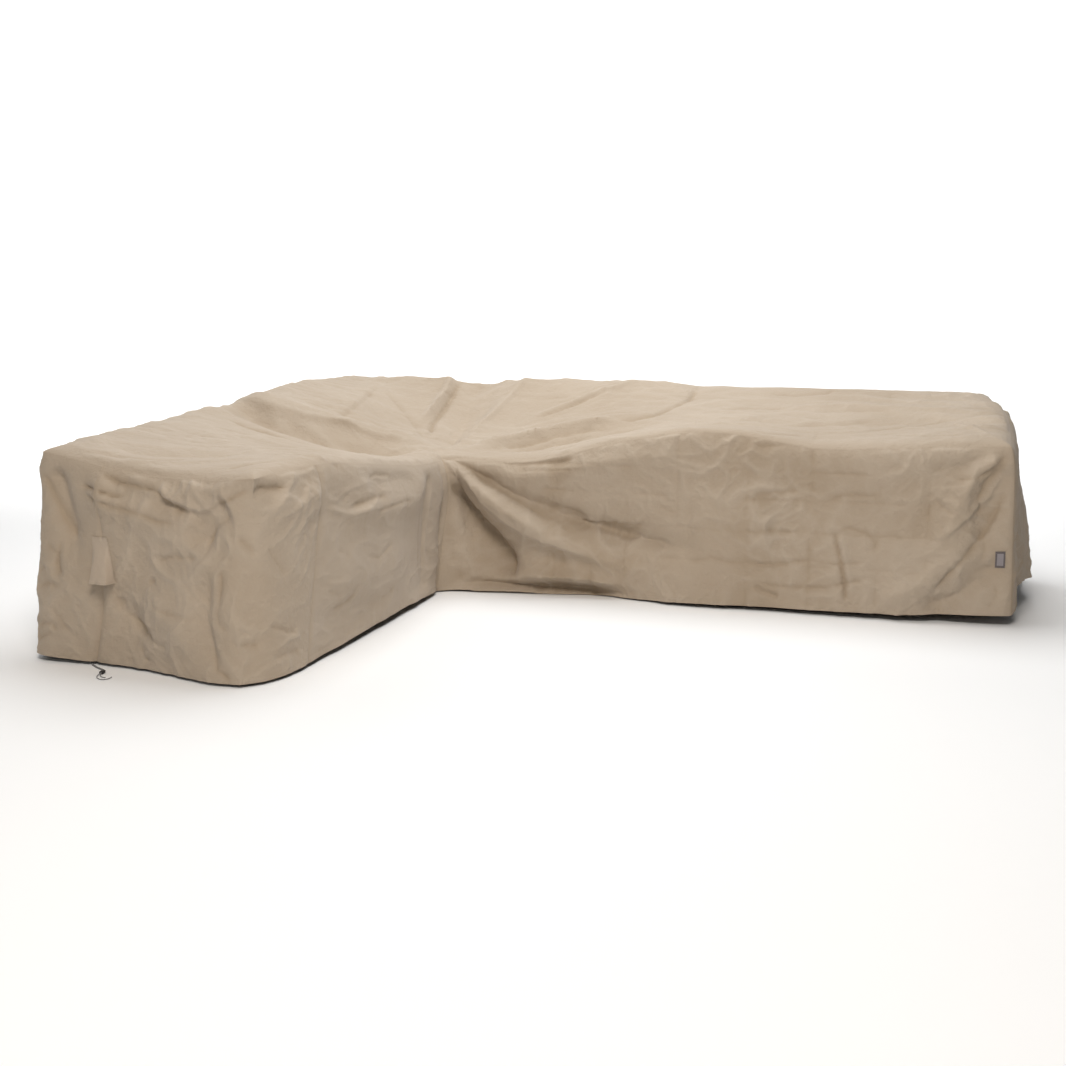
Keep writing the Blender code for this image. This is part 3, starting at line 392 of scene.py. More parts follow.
# %% The crest along each top edge
# Height of the top just inside each edge, in millimetres: a row of places, x on walls along X and y on
# walls along Y, and a row of heights.
Edge = namedtuple("Edge", "place height")
CREST_ROWS = {
    "inner": ((-1380, -1280, -1100, -800, -450, -250, 0), (659, 667, 673, 637, 593, 571, 560)),
    "short_end": ((-880, -750, -620, -500, -270, -120, 0), (704, 684, 664, 647, 641, 645, 659)),
    "outer": (
        (-1380, -1130, -650, -450, -340, -270, -200, -70, 140, 370, 880),
        (715, 720, 744, 763, 772, 764, 766, 784, 810, 829, 832),
    ),
    "back": (
        (-880, -490, -280, -230, -140, -60, 0, 660, 800, 900, 1330, 1740, 2160),
        (832, 829, 827, 818, 814, 816, 829, 829, 828, 818, 820, 817, 808),
    ),
    "long_end": ((0, 100, 350, 500, 880), (682, 694, 726, 750, 792)),
    "front": (
        (0, 160, 360, 490, 650, 810, 960, 1120, 1300, 1450, 1700, 1950, 2160),
        (560, 557, 562, 589, 636, 672, 698, 704, 682, 656, 659, 676, 682),
    ),
}
CREST = {side: Edge(*np.divide(rows, MM)) for side, rows in CREST_ROWS.items()}
print("crest from", min(edge.height.min() for edge in CREST.values()), "to",
      max(edge.height.max() for edge in CREST.values()), "m high")

# %% The hem of each wall
# In millimetres: places, heights above the ground, and how far the hem stands out from the plain wall.
Hem = namedtuple("Hem", "place height out")
HEM_ROWS = {
    "inner": ((-1380, -1100, -800, -450, -150, 0), (10, 18, 24, 28, 16, 6), (-22, -22, -16, -10, -15, -30)),
    "short_end": ((-880, -680, -500, -370, -200, 0), (22, 12, 10, 10, 10, 10), (16, -6, 0, 30, 80, 74)),
    "outer": ((-1380, -900, -300, 300, 880), (22, 20, 18, 20, 20), (12, 20, 35, 25, 40)),
    "back": ((-880, -300, 400, 1100, 1700, 2160), (20, 16, 20, 16, 20, 22), (40, 20, 35, 20, 30, 0)),
    "long_end": ((0, 200, 420, 650, 880), (42, 110, 105, 60, 22), (12, 36, 66, 78, 86)),
    "front": (
        (0, 150, 400, 650, 820, 1000, 1300, 1600, 1900, 2160),
        (6, 6, 4, 4, 8, 15, 18, 22, 30, 42),
        (30, 0, -50, -78, -36, 2, -4, 0, -10, -20),
    ),
}
HEMS = {side: Hem(*np.divide(rows, MM)) for side, rows in HEM_ROWS.items()}
print("hem up to", max(hem.height.max() for hem in HEMS.values()), "m above the ground")

# %% Corners that are drawn out of place
Pull = namedtuple("Pull", "top hem")  # how far a corner is drawn in x and y, at its top and at its hem
PULLS = {
    "inner": Pull((-0.010, 0.0), (-0.032, -0.006)),
    "short_right": Pull((-0.055, -0.035), (0.0, 0.0)),
    "short_left": Pull((0.030, 0.027), (0.0, 0.0)),
    "back_left": Pull((0.060, -0.010), (0.010, -0.010)),
    "back_right": Pull((-0.058, -0.016), (0.0, 0.0)),
    "long_front": Pull((-0.012, 0.002), (0.0, 0.0)),
}
PULL_REACH = 0.20  # how far from the corner the pull is felt
print("drawn most at the top:", max(PULLS, key=lambda name: math.hypot(*PULLS[name].top)))

# %% [markdown]
# ## Main folds
# A fold is a soft ridge or trough along a route. Its height falls off with the distance from the route, by
# one width on each side, and it may open like a fan from where it starts. All the large folds are listed
# by wall, where they lie on the real cover.

# %% One fold
Fold = namedtuple("Fold", "name height left right opens fade_in fade_out route")
FOLD_ROUND = 0.006  # how round a fold is along its crest


def as_folds(rows):
    """Folds from rows in millimetres. Opens is a share of the full width, and the fades of the length."""
    return [
        Fold(name, height / MM, left / MM, right / MM, opens, fade_in, fade_out, as_route(route))
        for name, height, left, right, opens, fade_in, fade_out, route in rows
    ]


def from_route(p, q, route):
    """Distance from a route, whether a point is left of the way walked, and the share of the way walked."""
    start, step = route[:-1], np.diff(route, axis=0)
    length = np.hypot(step[:, 0], step[:, 1])
    walked = np.concatenate([[0.0], np.cumsum(length)])
    dp = p[..., None] - start[:, 0]
    dq = q[..., None] - start[:, 1]
    t = np.clip((dp * step[:, 0] + dq * step[:, 1]) / length**2, 0.0, 1.0)
    gap = np.hypot(dp - t * step[:, 0], dq - t * step[:, 1])
    near = np.argmin(gap, axis=-1)[..., None]
    distance = np.take_along_axis(gap, near, -1)[..., 0]
    left = np.take_along_axis(step[:, 0] * dq - step[:, 1] * dp, near, -1)[..., 0] > 0
    done = np.take_along_axis(walked[:-1] + t * length, near, -1)[..., 0] / walked[-1]
    return distance, left, done


def fold_height(p, q, fold, power):
    """One fold's height at the points (p, q) of a panel.

    It falls off as exp(-(d / width)^power), where d = hypot(distance from the route, roundness). The width
    is one to the left of the way walked and one to the right. The lower the power, the sharper the fold is
    along its route. A fold that starts at a corner opens like a fan: its width grows from a share of the
    full one to all of it. Its height fades in and out over its ends.
    """
    distance, left, done = from_route(p, q, fold.route)
    width = np.where(left, fold.left, fold.right) * (fold.opens + (1 - fold.opens) * done)
    fade_in = ease(done / fold.fade_in) if fold.fade_in else 1.0
    fade_out = ease((1 - done) / fold.fade_out) if fold.fade_out else 1.0
    distance = np.hypot(distance, FOLD_ROUND)
    return fold.height * np.exp(-((distance / width) ** power)) * fade_in * fade_out


def fold_sum(p, q, folds, power):
    """The heights of all folds of a panel together at the points (p, q)."""
    total = np.zeros_like(p)
    for fold in folds:
        total += fold_height(p, q, fold, power)
    return total


plain = as_folds([("plain", 10, 50, 50, 1, 0, 0, (0,0, 1000,0))])
beside = fold_sum(np.full(1, 0.5), np.full(1, 0.05), plain, 1.0)[0] * MM
print(f"one width beside its route, a fold of 10 mm is {beside:.1f} mm high")

# %% The main folds beside the inner corner
# A row is (name, height outwards, width to the left, width to the right, opens, fades in, fades out, route).
# A route on a wall is (place along the wall, height above the ground), from its first point on.
WALL_FOLDS = {}
WALL_FOLDS["front"] = as_folds((
    ("corner valley", -70, 80, 180, 0.5, 0.35, 0.15, (0,540, 80,385, 160,270, 250,170, 300,50)),
    ("trough beside the swag", -44, 24, 55, 0.6, 0.2, 0.1, (20,470, 90,360, 150,290, 220,220, 270,160,
        300,60)),
    ("main swag", 72, 110, 75, 0.5, 0.3, 0.3, (30,530, 160,440, 290,340, 460,245, 660,165, 880,90)),
    ("upper valley", -62, 62, 58, 0.5, 0.15, 0.3, (60,530, 170,475, 310,400, 500,325, 750,260, 1120,210)),
    ("top overhang", 22, 50, 50, 1, 0.3, 0.4, (100,530, 350,500, 750,560, 1050,620)),
    ("low bulge", 58, 45, 32, 1, 0.3, 0.3, (260,85, 420,80, 600,75, 800,50)),
    ("tuck above the hem", -46, 18, 16, 1, 0.2, 0.3, (60,34, 240,32, 450,32, 650,27, 800,18)),
    ("hem on the ground", 26, 12, 12, 1, 0.2, 0.4, (60,4, 300,4, 550,4, 700,4)),
    ("middle swell", 24, 150, 150, 1, 0.2, 0.2, (1000,360, 1350,340)),
    ("long hollow", -14, 100, 120, 1, 0.3, 0.3, (1150,560, 1600,420, 1900,300)),
    ("pinch from corner", 32, 45, 35, 1, 0.1, 0.4, (2130,630, 2030,530, 1960,380, 1900,220)),
    ("hollow by the pinch", -32, 40, 60, 1, 0.15, 0.4, (2130,600, 2090,450, 2050,240)),
    ("flat pinch", -18, 30, 30, 1, 0.2, 0.5, (2100,625, 1970,580, 1800,520)),
    ("low swell right", 28, 60, 60, 1, 0.2, 0.3, (1700,60, 1880,150, 2000,260, 2070,380)),
    ("low hollow right", -34, 50, 60, 1, 0.2, 0.2, (1860,50, 1980,100, 2070,170, 2120,270)),
))
WALL_FOLDS["inner"] = as_folds((
    ("pleat at the corner", -3, 50, 34, 1, 0, 0.2, (-35,520, -60,20)),
    ("ridge by the corner", 12, 100, 90, 0.6, 0.2, 0, (-60,520, -115,350, -135,20)),
    ("second valley", -18, 65, 85, 0.5, 0.15, 0.1, (-180,530, -250,400, -270,30)),
    ("swag to the corner", 28, 80, 60, 1, 0.3, 0.3, (-1020,470, -700,440, -400,430, -150,500)),
    ("top hollow", -12, 60, 60, 1, 0.3, 0.3, (-850,550, -500,520, -300,490)),
    ("swag from the tuck", 16, 40, 40, 1, 0.2, 0.3, (-1330,530, -1200,530, -1090,590)),
    ("tuck", -16, 20, 20, 1, 0.1, 0.15, (-1380,600, -1310,592, -1270,590)),
    ("belly", 26, 150, 150, 1, 0.3, 0.3, (-1150,260, -700,220, -400,240)),
    ("low hollow", -14, 70, 70, 1, 0.3, 0.3, (-1250,130, -900,120, -600,100)),
))
print("front:", len(WALL_FOLDS["front"]), "folds, inner:", len(WALL_FOLDS["inner"]))

# %% The main folds of the other walls
WALL_FOLDS["short_end"] = as_folds((
    ("valley from the corner", -36, 45, 65, 0.6, 0.15, 0.4, (-830,650, -790,580, -745,460, -720,300)),
    ("swag over the step", 34, 45, 70, 1, 0.25, 0.35, (-680,635, -520,622, -400,600, -270,555)),
    ("hollow under it", -34, 40, 50, 1, 0.2, 0.3, (-620,605, -500,580, -380,545, -270,510)),
    ("second swag", 34, 55, 60, 1, 0.25, 0.3, (-700,575, -550,535, -420,505, -220,490)),
    ("dent by the corner", -34, 60, 70, 1, 0.2, 0.3, (-100,570, -180,490, -230,380)),
    ("drooping top corner", 24, 60, 50, 1, 0.3, 0.2, (-340,600, -200,605, -80,600)),
    ("valley under the vent", -26, 55, 65, 1, 0.3, 0.3, (-600,270, -520,180, -440,90)),
    ("lower swell", 30, 90, 90, 1, 0.3, 0.3, (-460,260, -320,160, -240,80)),
    ("corner fold", -26, 30, 45, 1, 0.3, 0.2, (-200,360, -200,170, -170,40)),
    ("pleat along the seam", -11, 10, 12, 1, 0.1, 0, (-622,300, -634,190, -650,90, -666,10)),
    ("dip over the vent", -5, 8, 8, 1, 0.1, 0, (-613,600, -614,420)),
))
WALL_FOLDS["outer"] = as_folds((
    ("front corner", 16, 50, 60, 1, 0, 0.4, (-1380,640, -1280,630, -1100,610)),
    ("low drape", -16, 90, 90, 1, 0.3, 0.4, (-1200,520, -800,340, -550,150)),
    ("step to the back", -24, 50, 70, 1, 0.1, 0.4, (-200,700, -240,450, -320,220)),
    ("back swell", 20, 120, 120, 1, 0.3, 0.3, (-50,400, 450,300)),
))
WALL_FOLDS["back"] = as_folds((
    ("below the dip", -26, 70, 80, 1, 0.1, 0.4, (-140,740, -120,500, -50,250)),
    ("left drape", 18, 90, 90, 1, 0.3, 0.3, (-620,550, -450,200)),
    ("middle drape", -18, 100, 100, 1, 0.3, 0.3, (700,620, 950,350, 1000,100)),
    ("right drape", 20, 100, 100, 1, 0.3, 0.3, (1550,500, 1750,150)),
))
WALL_FOLDS["long_end"] = as_folds((
    ("hanging flute", 20, 70, 70, 1, 0.4, 0, (330,520, 420,100)),
    ("hollow by the front", -22, 60, 70, 1, 0.3, 0, (120,500, 170,100)),
    ("hollow by the back", -18, 60, 60, 1, 0.4, 0, (640,520, 660,80)),
))
print("folds:", ", ".join(f"{side} {len(folds)}" for side, folds in WALL_FOLDS.items()))

# %% The main folds of the top
# Here a height is upward, and a route is (x, y).
TOP_FOLDS = as_folds((
    ("ridge along the rise", 46, 200, 70, 0.7, 0.15, 0.25, (-880,-60, -700,-90, -550,-20, -400,60,
        -220,110, -40,100)),
    ("hollow before the rise", -56, 50, 130, 1, 0.15, 0.25, (-860,-200, -620,-200, -460,-140, -280,-70,
        -60,0)),
    ("ridge to the back corner", 22, 120, 80, 1, 0.2, 0.2, (-510,100, -550,410, -630,740)),
    ("ridge left of the dip", 26, 70, 32, 0.6, 0.3, 0, (-270,360, -260,550, -270,710, -300,880)),
    ("valley from the dip", -22, 90, 80, 0.4, 0.2, 0, (-30,90, -70,330, -110,600, -150,880)),
    ("ridge right of the dip", 20, 40, 75, 0.5, 0.2, 0, (0,100, 0,500, 30,700, 100,880)),
    ("back fan", 20, 45, 80, 0.5, 0.4, 0, (100,420, 310,575, 420,650, 620,880)),
    ("front fan", 30, 120, 55, 0.65, 0.2, 0.35, (40,80, 220,270, 400,360, 600,390, 860,460)),
    ("hollow by the front edge", -28, 55, 90, 0.65, 0.2, 0.35, (120,90, 270,190, 450,240, 660,240,
        900,300)),
    ("long ridge", 18, 60, 40, 1, 0.3, 0.2, (1200,560, 1550,600, 1800,570, 2000,520, 2120,440)),
    ("long hollow", -16, 45, 90, 1, 0.3, 0.3, (1100,300, 1500,370, 1850,420, 2080,360)),
    ("short wing wave", -18, 50, 80, 1, 0.3, 0.3, (-800,-1220, -600,-1200, -400,-1100, -200,-1020)),
    ("short wing crease", -14, 40, 60, 1, 0.3, 0.3, (-740,-420, -560,-450, -400,-470, -220,-440)),
))
print("top:", len(TOP_FOLDS), "folds")

# %% [markdown]
# ## The draped surface
# The top is a smooth form that is level in front and rises to the back and the outer side. It is brought
# to the crest heights near its edges and rolls over them. Each wall runs straight down from that edge to
# its hem, and is pushed out by its flare and folds. Near a corner it follows its neighbour as well, so that
# two walls meet in one line.

# %% The top
TOP_POWER = 1.15  # the top is drawn tight, so its folds are sharp
CREST_REACH = 0.20  # how far from an edge its crest is felt
TOP_FADE = 0.06  # the top's folds end this far from its edges


def to_edge(x, y, side):
    """Distance from (x, y) on the top to one edge, and the place along that edge which is nearest."""
    (first_x, first_y), (last_x, last_y) = (CORNERS[name] for name in SIDES[side][:2])
    if runs_along(side):
        place = np.clip(y, min(first_y, last_y), max(first_y, last_y))
        return np.hypot(x - first_x, y - place), place
    place = np.clip(x, min(first_x, last_x), max(first_x, last_x))
    return np.hypot(x - place, y - first_y), place


def plain_top(x, y):
    """Height of the top before its folds.

    It is level in front. It rises to the back with (y / wing)^1.7 and to the outer side with (-x / wing)^1.4.
    The two rises join as the fourth root of the sum of their fourth powers, which runs one softly into the
    other. Less the sag at the inner corner: exp(-(distance / reach)^3.5).
    """
    back = BACK_RISE * np.clip(y / WING, 0, 1) ** 1.7
    side_height = SIDE_RISE[0] * ease((y + SHORT) / 1.2) + SIDE_RISE[1] * ease((y + 0.24) / 0.20)
    side = side_height * np.clip(-x / WING, 0, 1) ** 1.4
    rise = (back**4 + side**4 + 1e-12) ** 0.25
    sag = CORNER_SAG * np.exp(-((np.hypot(x, y) / SAG_REACH) ** 3.5))
    return FRONT_TOP + rise - sag


def edge_end(side, place):
    """The plan point of a wall's nominal line at a place along it."""
    x, y = CORNERS[SIDES[side].start]
    return (np.full_like(place, x), place) if runs_along(side) else (place, np.full_like(place, y))


def top_height(x, y):
    """Height of the top: its plain form, brought to the crest near each edge, folded, and rolled down.

    The crest's pull falls off as exp(-distance / reach), and the roll as exp(-distance / roll length).
    """
    shift = np.zeros_like(x)
    total = np.zeros_like(x)
    nearest = np.full_like(x, np.inf)
    for side in ORDER:
        distance, place = to_edge(x, y, side)
        wanted = smooth_table(place, CREST[side].place, CREST[side].height)
        weight = np.exp(-distance / CREST_REACH)
        shift += weight * (wanted - plain_top(*edge_end(side, place)))
        total += weight
        nearest = np.minimum(nearest, distance)
    height = plain_top(x, y) + shift / np.maximum(total, 1.0)
    height = height + fold_sum(x, y, TOP_FOLDS, TOP_POWER) * ease(nearest / TOP_FADE)
    return height - EDGE_ROLL * np.exp(-nearest / ROLL_LENGTH)


def pull(x, y, which):
    """How far the corners draw a plan point, at the top edge (0) or the hem (1): exp(-(gap / reach)^2)."""
    dx = np.zeros_like(x)
    dy = np.zeros_like(y)
    for name, (cx, cy) in CORNERS.items():
        share = np.exp(-(((x - cx) ** 2 + (y - cy) ** 2) / PULL_REACH**2))
        dx += PULLS[name][which][0] * share
        dy += PULLS[name][which][1] * share
    return dx, dy


def top_points(x, y):
    """Points of the top panel over the plan points (x, y)."""
    dx, dy = pull(x, y, 0)
    return joined(x + dx, y + dy, top_height(x, y))


print(f"top at the inner corner: {top_height(np.zeros(1), np.zeros(1))[0]:.3f} m high")

# %% How far a wall is pushed out
WALL_POWER = 1.45  # the walls hang loose, so their folds are rounder
WALL_FADE = 0.07  # the walls' folds end this far below the top edge
Rounding = namedtuple("Rounding", "inside reach")  # how far a corner lies inside a sharp one, and how wide
CORNER_ROUNDS = {
    "inner": Rounding(-0.026, 0.034),
    "short_right": Rounding(0.050, 0.050),
    "short_left": Rounding(0.028, 0.034),
    "back_left": Rounding(0.032, 0.038),
    "back_right": Rounding(0.018, 0.040),
    "long_front": Rounding(0.014, 0.030),
}


def corner_places(side):
    """The two corners of a wall, with their places along it."""
    return [(corner, CORNERS[corner][runs_along(side)]) for corner in SIDES[side][:2]]


def bulge(side, place, height, down, depth):
    """How far a wall stands out of its nominal plane: its flare, the roll at the top edge, and its folds.

    Beside a corner it lies further in, by the corner's inside x exp(-distance / reach).
    """
    flare = down * smooth_table(place, HEMS[side].place, HEMS[side].out)
    rolled = 1 - np.exp(-depth / ROLL_LENGTH)
    round_off = np.zeros_like(place)
    for corner, end in corner_places(side):
        rounded = CORNER_ROUNDS[corner]
        round_off -= rounded.inside * np.exp(-np.abs(place - end) / rounded.reach)
    folds = fold_sum(place, height, WALL_FOLDS[side], WALL_POWER)
    return flare + EDGE_ROLL * rolled + round_off * rolled + ease(depth / WALL_FADE) * folds


print("the front's corners:", corner_places("front"))

# %% Points of a wall
MITRE_REACH = 0.12  # how far a wall follows its neighbour's bulge round the corner


def wall_points(side, place, down):
    """Points of a wall at a place along it, and down from 0 at the top edge to 1 at the hem.

    The wall is straight from its top edge to its hem and then pushed out by its bulge. Near a corner it
    also follows its neighbour's bulge there, so that the two walls meet in one line.
    """
    x, y = edge_end(side, place)
    out = np.asarray(SIDES[side].out, float)
    top_dx, top_dy = pull(x, y, 0)
    hem_dx, hem_dy = pull(x, y, 1)
    crest = top_height(x, y)
    hem = smooth_table(place, HEMS[side].place, HEMS[side].height)
    height = crest + (hem - crest) * down
    depth = (crest - hem) * down
    push = bulge(side, place, height, down, depth)
    px = x + top_dx * (1 - down) + hem_dx * down + push * out[0]
    py = y + top_dy * (1 - down) + hem_dy * down + push * out[1]
    for corner, end in corner_places(side):
        other = next(name for name in ORDER if name != side and corner in SIDES[name][:2])
        there = np.full_like(place, CORNERS[corner][runs_along(other)])
        follow = (1 - ease(np.abs(place - end) / MITRE_REACH)) * bulge(other, there, height, down, depth)
        px += follow * SIDES[other].out[0]
        py += follow * SIDES[other].out[1]
    return joined(px, py, height)


corner = wall_points("front", np.zeros(2), np.array([0.0, 1.0]))
print("the front wall at the inner corner, top and hem:", corner.round(3).tolist())

# %% [markdown]
# ## Creases and crumples
# On the folds lie finer marks. The packet left a grid of straight creases, and short pulled creases run
# between them. They are narrower than folds and fall off almost as a plain exponential, so they stay
# sharp. Between them the cloth is slightly crumpled: ridged noise, bent by a second noise so that no line
# repeats.

# %% Ridged noise
LATTICE = 61  # the noise repeats after this many cells
CRUMPLE_SIZES = ((0.21, 0.90), (0.11, 0.65), (0.055, 0.38), (0.030, 0.14))  # (cell, share)
BENT_BY = 0.05  # how far a slow noise moves the ridges
SLOW_CELL = 0.17  # cell of that noise, and of the one that weakens the packet's lines
PATCH_CELL = 0.38  # cell of the noise that makes patches


def lattice_noise(p, q, cell, seed):
    """Gradient noise: a random slope at each lattice point, blended over a cell by 6t^5 - 15t^4 + 10t^3."""
    angle = np.random.default_rng(seed).uniform(0, 2 * np.pi, (LATTICE, LATTICE))
    u, v = p / cell, q / cell
    i, j = np.floor(u).astype(int), np.floor(v).astype(int)
    f, g = u - i, v - j

    def corner(di, dj):
        turn = angle[(i + di) % LATTICE, (j + dj) % LATTICE]
        return np.cos(turn) * (f - di) + np.sin(turn) * (g - dj)

    s = f**3 * (f * (6 * f - 15) + 10)
    t = g**3 * (g * (6 * g - 15) + 10)
    near = corner(0, 0) * (1 - s) + corner(1, 0) * s
    far = corner(0, 1) * (1 - s) + corner(1, 1) * s
    return near * (1 - t) + far * t


def crumple(p, q, seed):
    """Thin ridges where a bent noise passes through zero: (1 - 2.6 x |noise|)^3, in four sizes.

    A slow noise makes patches with more and with less of them.
    """
    bent_p = p + BENT_BY * lattice_noise(p, q, SLOW_CELL, seed + 1)
    bent_q = q + BENT_BY * lattice_noise(p, q, SLOW_CELL, seed + 2)
    total = np.zeros_like(p)
    for number, (cell, share) in enumerate(CRUMPLE_SIZES):
        noise = np.abs(lattice_noise(bent_p, bent_q, cell, seed + 3 + number))
        total += share * np.clip(1 - 2.6 * noise, 0, 1) ** 3
    patches = 0.55 + 0.9 * lattice_noise(p, q, PATCH_CELL, seed + 9)
    return total * np.clip(patches, 0.1, 1.2)


line = np.linspace(0.0, 2.0, 200)
print(f"crumples along two metres: up to {crumple(line, line, 1).max():.2f} of their full height")

# %% The creases of the front
# A row is (height, width, route) in millimetres, with routes as the folds have them.
Crease = namedtuple("Crease", "height width route")
CREASES = {}


def as_creases(rows):
    """Creases from rows in millimetres."""
    return [Crease(height / MM, width / MM, as_route(route)) for height, width, route in rows]


CREASES["front"] = as_creases((
    # drawn out of the inner corner
    (-5, 16, (30,545, 120,500, 190,450, 270,410, 380,350, 500,300)),
    (5, 18, (30,530, 130,440, 210,360, 300,290, 440,235, 660,160)),
    (-8, 16, (10,480, 40,430, 90,350, 140,290, 200,230, 250,170)),
    (-4.5, 12, (250,180, 275,130, 300,60)),
    (-3.5, 12, (90,360, 120,330, 150,320)),
    (-4, 12, (10,440, 20,340, 30,190)),
    (4, 14, (45,400, 55,300, 80,210)),
    (-3.5, 12, (40,180, 60,100, 80,40)),
    (3, 12, (80,180, 110,110, 130,50)),
    # under the top edge
    (-5, 13, (220,535, 380,535, 470,545, 560,560)),
    (-2, 12, (300,500, 470,510, 620,520)),
    (-2.5, 12, (1240,670, 1270,630, 1410,640, 1450,625)),
    (2.5, 10, (1220,640, 1300,655, 1400,660)),
    # across the middle
    (-2.5, 14, (470,310, 540,270, 610,290)),
    (2.5, 13, (630,270, 760,230, 900,270, 970,230)),
    (-2.2, 12, (460,370, 560,340, 610,330)),
    (-2, 10, (890,430, 960,400)),
    (-2, 10, (890,390, 960,360)),
    (-1.8, 12, (510,210, 500,110)),
    (2.2, 14, (980,300, 1080,360, 1200,340)),
    (-2.2, 12, (1000,170, 1100,200, 1200,180)),
    (-2.5, 12, (1230,410, 1270,450, 1430,470)),
    (3, 14, (1240,400, 1280,350, 1360,360, 1450,410)),
    (-2, 10, (1260,320, 1420,310)),
    (2.5, 12, (1230,230, 1290,290, 1420,290)),
    (-2.8, 12, (1240,190, 1320,180, 1460,210, 1560,200, 1710,220)),
    (-3, 14, (1240,130, 1290,110, 1380,100, 1530,110, 1670,150, 1710,170)),
    (-5, 12, (1260,95, 1310,75, 1360,60)),
    # the sharp one that falls to the hem, and what starts from it
    (-6, 11, (1550,330, 1570,250, 1590,160, 1605,50)),
    (3.5, 14, (1575,320, 1600,220, 1630,80)),
    (-2.8, 11, (1560,330, 1610,335, 1670,320, 1700,290, 1700,240)),
    (-2.4, 12, (1520,430, 1580,460, 1690,460, 1700,430)),
    (2.2, 11, (1470,240, 1540,270)),
    (-2, 10, (1460,500, 1470,460)),
    # fanning from the right corner
    (-4.5, 12, (2140,630, 2090,570, 2030,540, 1950,530)),
    (-5, 13, (2140,610, 2070,520, 2050,460, 2060,400)),
    (6, 16, (2130,570, 2080,480, 2010,410, 1910,300)),
    (-5, 16, (2140,500, 2080,350, 1990,220, 1890,100)),
    (-2.4, 10, (1880,510, 1940,510, 2020,520)),
    (-2.2, 10, (1880,480, 1920,440, 1970,400)),
    (-2.2, 10, (2070,350, 2080,280, 2070,230)),
    (-2.5, 12, (2120,160, 2130,110, 2100,60)),
))
print("front:", len(CREASES["front"]), "creases")

# %% The creases of the inner wall
CREASES["inner"] = as_creases((
    # pleats beside the corner
    (2, 18, (-170,470, -200,400, -240,240, -230,80)),
    (-1.2, 18, (-50,500, -70,300, -90,80)),
    (-2, 18, (-280,460, -320,300, -310,100)),
    # swags from the seam
    (4.5, 16, (-1090,500, -990,470, -930,450, -800,460)),
    (-4.5, 15, (-940,480, -850,485, -780,490, -660,480)),
    (-4, 15, (-790,440, -700,440, -530,440, -430,430)),
    (-2.5, 12, (-1020,640, -980,620)),
    (-2.5, 12, (-790,550, -710,560, -570,540)),
    (3, 14, (-1290,590, -1220,620, -1120,630)),
    (3, 14, (-1330,500, -1250,530, -1140,570)),
    (-6, 10, (-1400,605, -1340,595, -1280,590)),
    # lower down
    (-3, 14, (-1380,420, -1340,360, -1310,310)),
    (-2.8, 12, (-1100,230, -1010,190)),
    (-2.5, 12, (-1040,350, -960,320)),
    (2.5, 12, (-1100,250, -960,230)),
    (-3, 13, (-1060,150, -960,160, -900,180)),
    (-2.8, 12, (-700,110, -600,130)),
    (-3, 12, (-1400,180, -1340,150, -1280,130)),
    (3, 12, (-1380,100, -1320,120, -1260,120)),
    (-3, 12, (-1400,70, -1330,75, -1260,70)),
    (-2.4, 12, (-860,300, -740,270, -620,300)),
))
print("inner:", len(CREASES["inner"]), "creases")

# %% The creases of the end wall
CREASES["short_end"] = as_creases((
    # from the left top corner, and the crumpled strip below it
    (-4.5, 16, (-850,620, -795,530, -750,450, -720,400)),
    (-3.5, 11, (-842,390, -795,360, -795,300, -760,295)),
    (3, 10, (-860,325, -790,310)),
    (-3, 10, (-885,280, -835,320)),
    (-3.5, 11, (-885,240, -825,260, -780,250)),
    (-3, 11, (-885,120, -820,130, -805,100)),
    (3.2, 12, (-830,180, -800,220, -740,260)),
    (-2.8, 11, (-885,70, -820,100)),
    (-2.8, 11, (-780,400, -790,330, -775,290)),
    (-2.4, 14, (-820,180, -770,120, -720,80)),
    # swags from the seam to the right corner
    (-6, 13, (-630,640, -590,620, -540,600, -460,590, -400,580, -360,550, -310,530, -240,520)),
    (-6, 9, (-690,585, -620,580, -550,562, -510,557)),
    (-4.5, 15, (-690,560, -560,530, -450,510, -390,490, -310,485)),
    (5.5, 14, (-380,610, -370,570, -310,550, -240,530, -200,550, -170,580)),
    (-4, 12, (-80,600, -130,570, -190,545)),
    (-3.5, 12, (-130,520, -190,480, -220,420)),
    # under the vent
    (3, 14, (-440,290, -430,220, -460,140)),
    (-3, 16, (-590,260, -560,190, -480,140, -440,110)),
    (-2.8, 12, (-410,360, -340,380, -240,380)),
    (-2.6, 10, (-440,290, -410,300)),
    (-2.8, 12, (-430,230, -380,210, -300,200, -250,190)),
    (-2.8, 12, (-460,130, -410,100, -360,90)),
    (-2.6, 11, (-490,80, -450,30)),
    # beside the right corner
    (-3.8, 13, (-160,370, -160,310, -170,210, -160,180, -120,170)),
    (-3.2, 12, (-190,100, -170,50, -120,20)),
    (-3, 13, (-110,460, -60,400, -30,340)),
    (2.8, 12, (-120,190, -60,170, -20,140)),
    (-2.8, 12, (-100,130, -50,120, -10,100)),
))
print("short end:", len(CREASES["short_end"]), "creases")

